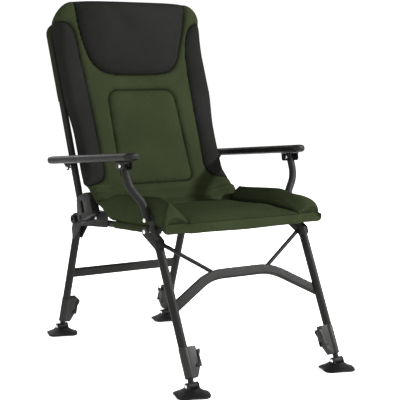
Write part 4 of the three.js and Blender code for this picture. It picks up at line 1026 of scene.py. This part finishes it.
def cushion_points(u, s, cushion):
    """Both faces of the cushion on a grid of shares u across and distances s along: the places of the
    sitting side and of the underside, and each point's seam facts. Near the outline the sitting side falls
    to the edge seam as a quarter ellipse. Towards the front it slopes down to the seam by a power of the
    distance, slower beside the middle than at the outer ends of the bolsters. Under the seam the front
    bulges as a roll, by a half sine, so that the seam lies in a notch."""
    u, s = np.meshgrid(u, s)
    x = u * trimmed_width(s)
    top, middle, under, distance, along, dark = cushion_heights(x, s, cushion)
    inside = from_edge(x, s)
    ahead = s - FRONT_END
    aside = half_width(s) - np.abs(x)
    to_side = np.where(ahead < inside + 1e-6, aside, inside)
    wing = 1 - step(s, along_of_seat(-285), along_of_seat(-240))
    rim = 22.0 - 6.0 * wing + 12 * step(s, 540, BACK_TOP)
    corner = step(np.abs(x), 172, 205)
    outer = step(np.abs(x), 178, 226)
    slope = 0.14 * step(ahead, 0, 7) + 0.86 * (1 - (1 - share(ahead / 125)) ** 1.9)
    wedge = (1 - (1 - share(ahead / (135 - 27 * outer))) ** (1.55 + 0.65 * outer)) ** (1 - 0.3 * outer)
    shoulder = bulge(to_side, rim) * (slope + (wedge - slope) * corner)
    upper = middle + (top - middle) * shoulder
    low_rim = 17.0 - 8.0 * (1 - step(s, -110, -70)) + 16.0 * corner * wing
    lower = middle + (under - middle) * bulge(inside, low_rim)
    tip = 17.0 * step(ahead, 0, 12) * (1 - step(ahead, 12, 110))
    roll = np.sin(math.pi * share(ahead / 38) ** 0.7)
    middle_roll = 12.0 * (1 - step(ahead, 8, 62))
    side_roll = np.sin(math.pi * share(aside / 38) ** 0.7)
    faces = []
    for height, swell, across, lip in ((upper, tip, 0.25 * tip, 0.0), (lower, 24.0 * roll, 14.0, 8.0 * roll)):
        place, normal = spine(s - (corner * swell + (1 - corner) * (middle_roll + lip)))
        point = place + normal * height[..., None]
        wide = across * wing * side_roll
        faces.append(np.stack([x + np.sign(x) * wide, point[..., 0], point[..., 1]], axis=-1))
    # The front edge also counts as a seam here, so the material paints shade along the crease in the notch over
    # the front roll, as along the seams
    seam = np.minimum(np.minimum(distance, ahead + 1.5), FAR_FROM_SEAM)
    return *faces, {"seam": seam, "along": along, "zone": dark, "inside": inside, "x": x, "s": s}


def eased(low, high, low_ease, high_ease, spacing, ease_steps):
    """Places from low to high, an even spacing apart in the middle and closer towards both ends, as the
    cosine of an even turn."""
    turn = quarter_turn(ease_steps + 1)
    start = low + low_ease * (1 - np.cos(turn))
    end = high - high_ease * (1 - np.cos(turn))[::-1]
    count = int(round((high - high_ease - low - low_ease) / spacing / 2)) * 2
    middle = np.linspace(low + low_ease, high - high_ease, count + 1)
    return np.concatenate([start[:-1], middle, end[1:]])


def skin_index(rows, columns):
    """Point numbers of both faces of a grid that share the points of its outline."""
    upper = np.arange(rows * columns).reshape(rows, columns)
    lower = upper.copy()
    lower[1:-1, 1:-1] = rows * columns + np.arange((rows - 2) * (columns - 2)).reshape(rows - 2, columns - 2)
    return upper, lower


def cushion_mesh(name, upper, lower):
    """A closed mesh from the two faces of the cushion."""
    top_index, low_index = skin_index(*upper.shape[:2])
    points = np.vstack([upper.reshape(-1, 3), lower[1:-1, 1:-1].reshape(-1, 3)])
    faces = np.vstack([quads_of(top_index), quads_of(low_index, flip=True)])
    mesh = bpy.data.meshes.new(name)
    mesh.from_pydata((points * MM).tolist(), [], faces.tolist())
    return mesh


def both_faces(values_up, values_low):
    """Values of the two faces as one list, in the order of the mesh's points."""
    return np.concatenate([values_up.ravel(), values_low[1:-1, 1:-1].ravel()])


def build_cushion():
    """The long cushion of seat, waist and backrest, bent round an arc at the waist."""
    look, cushion = chair_settings().look, chair_settings().cushion
    s = eased(FRONT_END, BACK_TOP, 22, TOP_CORNER, 3.9, 16)
    u = eased(-1, 1, 0.1, 0.1, 0.0162, 12)
    upper, lower, facts = cushion_points(u, s, cushion)
    coarse = [grid[::2, ::2] for grid in (upper, lower, facts["seam"], facts["inside"])]
    swell_up, swell_low = swollen(*coarse, cushion)
    upper = upper + finer(swell_up, upper.shape)
    lower = lower + finer(swell_low, lower.shape)
    mesh = cushion_mesh("cushion", upper, lower)
    far = np.full_like(facts["seam"], FAR_FROM_SEAM)
    wrap = np.where(facts["inside"] < 24, facts["zone"], -6.0)
    for name, low in (("seam", far), ("along", facts["along"]), ("zone", wrap)):
        field = mesh.attributes.new(name, "FLOAT", "POINT")
        field.data.foreach_set("value", both_faces(facts[name], low).astype(np.float32))
    write_threads(mesh, np.stack([both_faces(facts[way], facts[way]) for way in "xs"], axis=-1) * MM)
    mesh.shade_smooth()
    piece = new_object("cushion", mesh)
    name = "Woven polyester upholstery, olive and charcoal"
    mesh.materials.append(woven_polyester(name, look.olive, look.charcoal))
    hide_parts("seat_pad", "waist_pad", "back_pad", "head_pillow")
    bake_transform(piece)


def finer(values, shape):
    """A coarse grid of vectors as one with twice as many points each way: each new value is the mean of
    its neighbours."""
    out = np.zeros((shape[0], values.shape[1], 3))
    out[::2] = values
    out[1::2] = (values[:-1] + values[1:]) / 2
    wide = np.zeros((shape[0], shape[1], 3))
    wide[:, ::2] = out
    wide[:, 1::2] = (out[:, :-1] + out[:, 1:]) / 2
    return wide


def swollen(upper, lower, seam, inside, cushion):
    """How far the cover moves when air pressure fills it, with its seams and its outline held: a cloth
    simulation of the coarse cushion, with each movement capped."""
    cloth = new_object("cushion_cloth", cushion_mesh("cushion_cloth", upper, lower))
    rest = np.empty(len(cloth.data.vertices) * 3)
    cloth.data.vertices.foreach_get("co", rest)
    hold_up = np.maximum(bell(seam, 6.0), inside < 1.0)
    hold_low = np.where(inside < 1.0, 1.0, 0.12)
    weights = both_faces(hold_up, hold_low)
    group = cloth.vertex_groups.new(name="held")
    for level in np.linspace(0.1, 1.0, 10):
        chosen = np.nonzero(np.abs(weights - level) < 0.05)[0]
        group.add(chosen.tolist(), float(level), "REPLACE")
    press = cloth.modifiers.new("swell", "CLOTH")
    for name, value in CLOTH.items():
        setattr(press.settings, name, value)
    press.settings.vertex_group_mass = group.name
    press.settings.uniform_pressure_force = cushion.pressure
    press.settings.effector_weights.gravity = 0.0
    press.collision_settings.use_collision = False
    press.point_cache.frame_start = 1
    press.point_cache.frame_end = CLOTH_FRAMES
    scene = bpy.context.scene
    for number in range(1, CLOTH_FRAMES + 1):
        scene.frame_set(number)
    evaluated = cloth.evaluated_get(bpy.context.evaluated_depsgraph_get())
    moved = np.empty_like(rest)
    evaluated.to_mesh().vertices.foreach_get("co", moved)
    evaluated.to_mesh_clear()
    shift = (moved - rest).reshape(-1, 3) / MM
    scene.frame_set(1)
    bpy.data.objects.remove(cloth)
    length = np.linalg.norm(shift, axis=1)
    most, mean = (round(float(value), 2) for value in (length.max(), length.mean()))
    print("cushion cover moved", most, "mm at most,", mean, "on average")
    cap = cushion.cap / MM
    shift *= (cap * np.tanh(length / cap) / np.maximum(length, 1e-6))[:, None]
    top_index, low_index = skin_index(*seam.shape)
    return shift[top_index], shift[low_index]


# Armrests


def build_armrests():
    """Padded bars that stay level, with brackets, pins and cranked supports."""
    both_sides("armrest", *armrest_bar(), crisp=50)
    build_arm_brackets()
    reach = np.linalg.norm(BACK_LINK)
    low, high = -SUPPORT_RADIUS / 2, reach + SUPPORT_RADIUS / 4
    bends = ((OUTER_LEG_X, low), (OUTER_LEG_X, 42), (ARM_X, 98), (ARM_X, high))
    path = rounded_path([at(x, SUPPORT_PIVOT + BACK_ALONG * along) for x, along in bends], 30)
    both_sides("arm_support", *swept(path, at(0, BACK_FORWARD), SUPPORT_ACROSS, SUPPORT_RADIUS, sides=36))


def armrest_bar():
    """The armrest: along its length the section is |x / w| ** 3.2 + |h / t| ** 2.8 = 1, whose width narrows
    to round ends, with a lug under it for the rear pivot."""
    rear, front, end = -72.0, np.linalg.norm(ARM_LINK) + 57.0, 20.0
    close = end * (1 - np.cos(quarter_turn(12)))
    along = np.concatenate([rear + close, np.linspace(rear + end, front - end, 40)[1:-1], front - close[::-1]])
    inset = np.minimum(share((along - rear) / end), share((front - along) / end))
    round_end = np.sqrt(np.maximum(1 - (1 - inset) ** 2, 0))
    width = ARMREST_HALF_WIDTH * (0.1 + 0.9 * round_end) * (inset > 0)
    thick = ARMREST_HALF_HEIGHT * round_end ** 0.55
    turn = full_turn(48)
    x = ARM_X + width[:, None] * powered(np.cos(turn), 2 / 3.2)
    middle = SUPPORT_RADIUS + 0.5 + SHEET + GAP + ARMREST_HALF_HEIGHT
    h = middle + thick[:, None] * powered(np.sin(turn), 2 / 2.8)
    side = ARM_REAR_PIVOT + along[:, None, None] * ARM_ALONG + h[..., None] * ARM_UP
    bar = ring_skin(np.stack([x, side[..., 0], side[..., 1]], axis=-1))
    return joined(bar, armrest_lug())


def armrest_lug():
    """The lug: a plate whose outline is a half circle round the pivot under a wide base."""
    outline = [on_arm(-21, 16), on_arm(-21, 12.5)]
    outline += [on_arm(8 * math.cos(a), 8 * math.sin(a)) for a in np.linspace(-math.pi, 0, 17)]
    outline += [on_arm(21, 12.5), on_arm(21, 16)]
    return upright_plate(outline, LUG_OUTER - LUG_THICKNESS, LUG_OUTER)


def build_arm_brackets():
    """The moulded brackets under the armrests: two cheeks with round lower corners under a top plate, and
    a bright rivet through both."""
    length = np.linalg.norm(ARM_LINK)
    base, low, half, corner, wide = 10.0, -10.5, 23.0, 8.0, 14.2
    turn = quarter_turn(6)
    lower = [(half - corner + corner * math.cos(a), low + corner - corner * math.sin(a)) for a in turn]
    right = [(half, base + SHEET)] + lower
    cheek = [on_arm(length + a, h) for a, h in right + [(-a, h) for a, h in right[::-1]]]
    top = [on_arm(length + a, h) for a, h in ((25, base), (25, base + SHEET), (-25, base + SHEET), (-25, base))]
    parts = [upright_plate(cheek, ARM_X + x, ARM_X + x + SHEET) for x in (-wide, wide - SHEET)]
    both_sides("arm_bracket", *joined(*parts, upright_plate(top, ARM_X - wide, ARM_X + wide, 0.4)))
    extra_rivets("arm_bracket", *rivet(ARM_X - wide, ARM_X + wide, ARM_FRONT_PIVOT, both_heads=True))


# Stage

# The camera's place in metres, and the directions behind it and to its right, fitted to the photograph
EYE_PLACE = (-1.9004, -2.9288, 0.8560)
EYE_BACK = (-0.5521, -0.8260, 0.1139)
EYE_RIGHT = (0.8314, -0.5557, 0.0)
FLOOR_REACH = 30.0


def build_stage():
    """A pale floor that meets a pale sky, which darkens overhead, a small key lamp on the right, a wide fill
    lamp on the left and one behind, and the camera at the photograph's angle."""
    stage = chair_settings().stage
    scene = bpy.context.scene
    scene.view_settings.view_transform = "Standard"
    material, tree, shader = new_material("Studio floor, matt white")
    white = (1.0, 1.0, 1.0, 1.0)
    wire(tree, shader, {
        "Base Color": opaque(stage.floor), "Roughness": 0.9, "Specular IOR Level": 0.0, "Emission Color": white,
        "Emission Strength": stage.glow,
    })
    mesh = bpy.data.meshes.new("floor")
    corners = [(FLOOR_REACH * x, FLOOR_REACH * y, 0) for x, y in ((-1, -1), (1, -1), (1, 1), (-1, 1))]
    mesh.from_pydata(corners, [], [(0, 1, 2, 3)])
    mesh.materials.append(material)
    floor = new_object("floor", mesh)
    world = scene.world or bpy.data.worlds.new("Studio")
    scene.world = world
    world.use_nodes = True
    tree = world.node_tree
    direction = add(tree, "TexCoord", out="Generated")
    upward = add(tree, "SeparateXYZ", {0: direction}, out="Z")
    fall = add(tree, "MapRange", {
        "Value": upward, "From Min": 0.2, "From Max": 1.0, "To Min": stage.sky, "To Max": stage.zenith,
    })
    wire(tree, tree.nodes["Background"], {"Color": white, "Strength": fall})
    lamp("key", (3.4, -2.6, 2.9), (0.0, 0.0, 0.45), 0.35, stage.key)
    lamp("fill", (-3.6, -2.2, 2.2), (0.0, 0.0, 0.5), 2.4, stage.fill)
    lamp("back", (-0.6, 3.4, 2.8), (0.0, 0.0, 0.6), 2.2, stage.fill * 0.8)
    camera = bpy.data.cameras.new("camera")
    camera.lens = stage.lens
    camera.sensor_width = 36.0
    camera.clip_end = 100.0
    back, right = unit(EYE_BACK), unit(EYE_RIGHT)
    scene.camera = aimed("camera", camera, right, np.cross(back, right), back, EYE_PLACE)


def aimed(name, data, right, up, back, place):
    """A camera or a lamp in its place, turned by its three directions."""
    piece = new_object(name, data)
    piece.matrix_world = Matrix([*np.column_stack([right, up, back, place]).tolist(), [0, 0, 0, 1]])
    return piece


def lamp(name, place, target, size, power):
    """A square area lamp that looks at a target."""
    data = bpy.data.lights.new(name, "AREA")
    data.size = size
    data.energy = power
    back = unit(np.array(place) - np.array(target))
    right = unit(np.cross([0, 0, 1], back))
    aimed(name, data, right, np.cross(back, right), back, place)


# Add-on


def colour(name, description, code):
    """A colour setting whose default is an sRGB hex code."""
    return bpy.props.FloatVectorProperty(
        name=name, description=description, default=linear(code), subtype="COLOR", min=0.0, max=1.0)


class ChairLook(bpy.types.PropertyGroup):
    """Colours of the chair's finishes."""

    olive: colour("Olive cloth", "Colour of the main cloth", "#262b1c")
    charcoal: colour("Charcoal cloth", "Colour of the head pad and the back bolsters", "#1c1c1b")
    coat: colour("Powder coat", "Colour of the coated steel", "#181817")
    plastic: colour("Plastic", "Colour of the armrests and the levers", "#121211")
    clamp: colour("Clamp plastic", "Colour of the clamps on the legs", "#20201f")
    zinc: colour("Zinc", "Colour of the plated rivets", "#cfd0ce")
    rubber: colour("Rubber", "Colour of the mud feet", "#070707")


def amount(name, description, default, **options):
    """A number setting that is never negative."""
    return bpy.props.FloatProperty(name=name, description=description, default=default, min=0.0, **options)


class ChairCushion(bpy.types.PropertyGroup):
    """Sizes of the cushion."""

    bolster_rise: amount(
        "Seat bolster rise", "Height of the seat's side rolls over the seam beside them", 0.053, unit="LENGTH",
        subtype="DISTANCE")
    pressure: amount("Filling pressure", "How hard the cover is blown up in the simulation", 1.5)
    cap: amount(
        "Largest swelling", "The farthest that the simulation may move the cover", 0.005, unit="LENGTH",
        subtype="DISTANCE")


class ChairStage(bpy.types.PropertyGroup):
    """Floor, lamps and camera."""

    floor: colour("Floor", "Colour of the floor", "#ffffff")
    glow: amount("Floor glow", "Light of the floor itself, as on a lit table", 0.5)
    sky: amount("Sky", "Brightness of the pale surroundings", 1.06)
    zenith: amount("Overhead", "Brightness of the surroundings overhead", 0.22)
    key: amount("Key lamp", "Power of the lamp on the right", 480.0, unit="POWER")
    fill: amount("Fill lamps", "Power of the softer lamps", 100.0, unit="POWER")
    lens: amount("Lens", "Focal length of the camera", 107.28, subtype="DISTANCE_CAMERA")


class FishingChair(bpy.types.PropertyGroup):
    """All settings of the chair."""

    look: bpy.props.PointerProperty(type=ChairLook, name="Look", description="Colours of the finishes")
    cushion: bpy.props.PointerProperty(type=ChairCushion, name="Cushion", description="Sizes of the cushion")
    stage: bpy.props.PointerProperty(type=ChairStage, name="Stage", description="Floor, lamps and camera")


class FISHCHAIR_OT_seat_frame(bpy.types.Operator):
    """Make the seat's bars, brackets, rivets, bolts and cloth sleeves"""

    bl_idname = "fishchair.seat_frame"
    bl_label = "Seat Frame"

    def execute(self, context):
        build_seat_frame()
        return {"FINISHED"}


class FISHCHAIR_OT_leg_frames(bpy.types.Operator):
    """Make both leg frames with their cross bars and inner legs"""

    bl_idname = "fishchair.leg_frames"
    bl_label = "Leg Frames"

    def execute(self, context):
        build_leg_frames()
        return {"FINISHED"}


class FISHCHAIR_OT_clamps(bpy.types.Operator):
    """Make the clamps and their levers"""

    bl_idname = "fishchair.clamps"
    bl_label = "Leg Clamps"

    def execute(self, context):
        build_clamps()
        return {"FINISHED"}


class FISHCHAIR_OT_mud_feet(bpy.types.Operator):
    """Make the four swivelling mud feet"""

    bl_idname = "fishchair.mud_feet"
    bl_label = "Mud Feet"

    def execute(self, context):
        build_mud_feet()
        return {"FINISHED"}


class FISHCHAIR_OT_back_frame(bpy.types.Operator):
    """Make the back tube, its hinge housings and the armrests' rear pins"""

    bl_idname = "fishchair.back_frame"
    bl_label = "Back Frame"

    def execute(self, context):
        build_back_frame()
        return {"FINISHED"}


class FISHCHAIR_OT_pocket(bpy.types.Operator):
    """Make the cloth pocket over the back frame"""

    bl_idname = "fishchair.pocket"
    bl_label = "Back Pocket"

    def execute(self, context):
        build_pocket()
        return {"FINISHED"}


class FISHCHAIR_OT_cushion(bpy.types.Operator):
    """Make the long sewn cushion of the seat and the back"""

    bl_idname = "fishchair.cushion"
    bl_label = "Cushion"

    def execute(self, context):
        build_cushion()
        return {"FINISHED"}


class FISHCHAIR_OT_armrests(bpy.types.Operator):
    """Make the armrests with their brackets and supports"""

    bl_idname = "fishchair.armrests"
    bl_label = "Armrests"

    def execute(self, context):
        build_armrests()
        return {"FINISHED"}


class FISHCHAIR_OT_stage(bpy.types.Operator):
    """Make the floor, the lamps and the camera"""

    bl_idname = "fishchair.stage"
    bl_label = "Stage"

    def execute(self, context):
        build_stage()
        return {"FINISHED"}


OPERATORS = (
    FISHCHAIR_OT_seat_frame, FISHCHAIR_OT_leg_frames, FISHCHAIR_OT_clamps, FISHCHAIR_OT_mud_feet,
    FISHCHAIR_OT_back_frame, FISHCHAIR_OT_pocket, FISHCHAIR_OT_cushion, FISHCHAIR_OT_armrests,
    FISHCHAIR_OT_stage,
)


class FISHCHAIR_PT_panel(bpy.types.Panel):
    """Lists the chair's settings and the steps that make it"""

    bl_idname = "FISHCHAIR_PT_panel"
    bl_label = "Fishing Chair"
    bl_space_type = "VIEW_3D"
    bl_region_type = "UI"
    bl_category = "Fishing Chair"

    def draw(self, context):
        chair = context.scene.fishing_chair
        for group in (chair.look, chair.cushion, chair.stage):
            box = self.layout.box()
            for name in group.__annotations__:
                box.prop(group, name)
        for operator in OPERATORS:
            self.layout.operator(operator.bl_idname)


CLASSES = (ChairLook, ChairCushion, ChairStage, FishingChair, *OPERATORS, FISHCHAIR_PT_panel)


def register():
    for cls in CLASSES:
        bpy.utils.register_class(cls)
    bpy.types.Scene.fishing_chair = bpy.props.PointerProperty(type=FishingChair)


def unregister():
    del bpy.types.Scene.fishing_chair
    for cls in reversed(CLASSES):
        bpy.utils.unregister_class(cls)


def main():
    """Registers the add-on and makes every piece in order."""
    register()
    for operator in OPERATORS:
        group, name = operator.bl_idname.split(".")
        getattr(getattr(bpy.ops, group), name)()


if __name__ == "__main__":
    main()
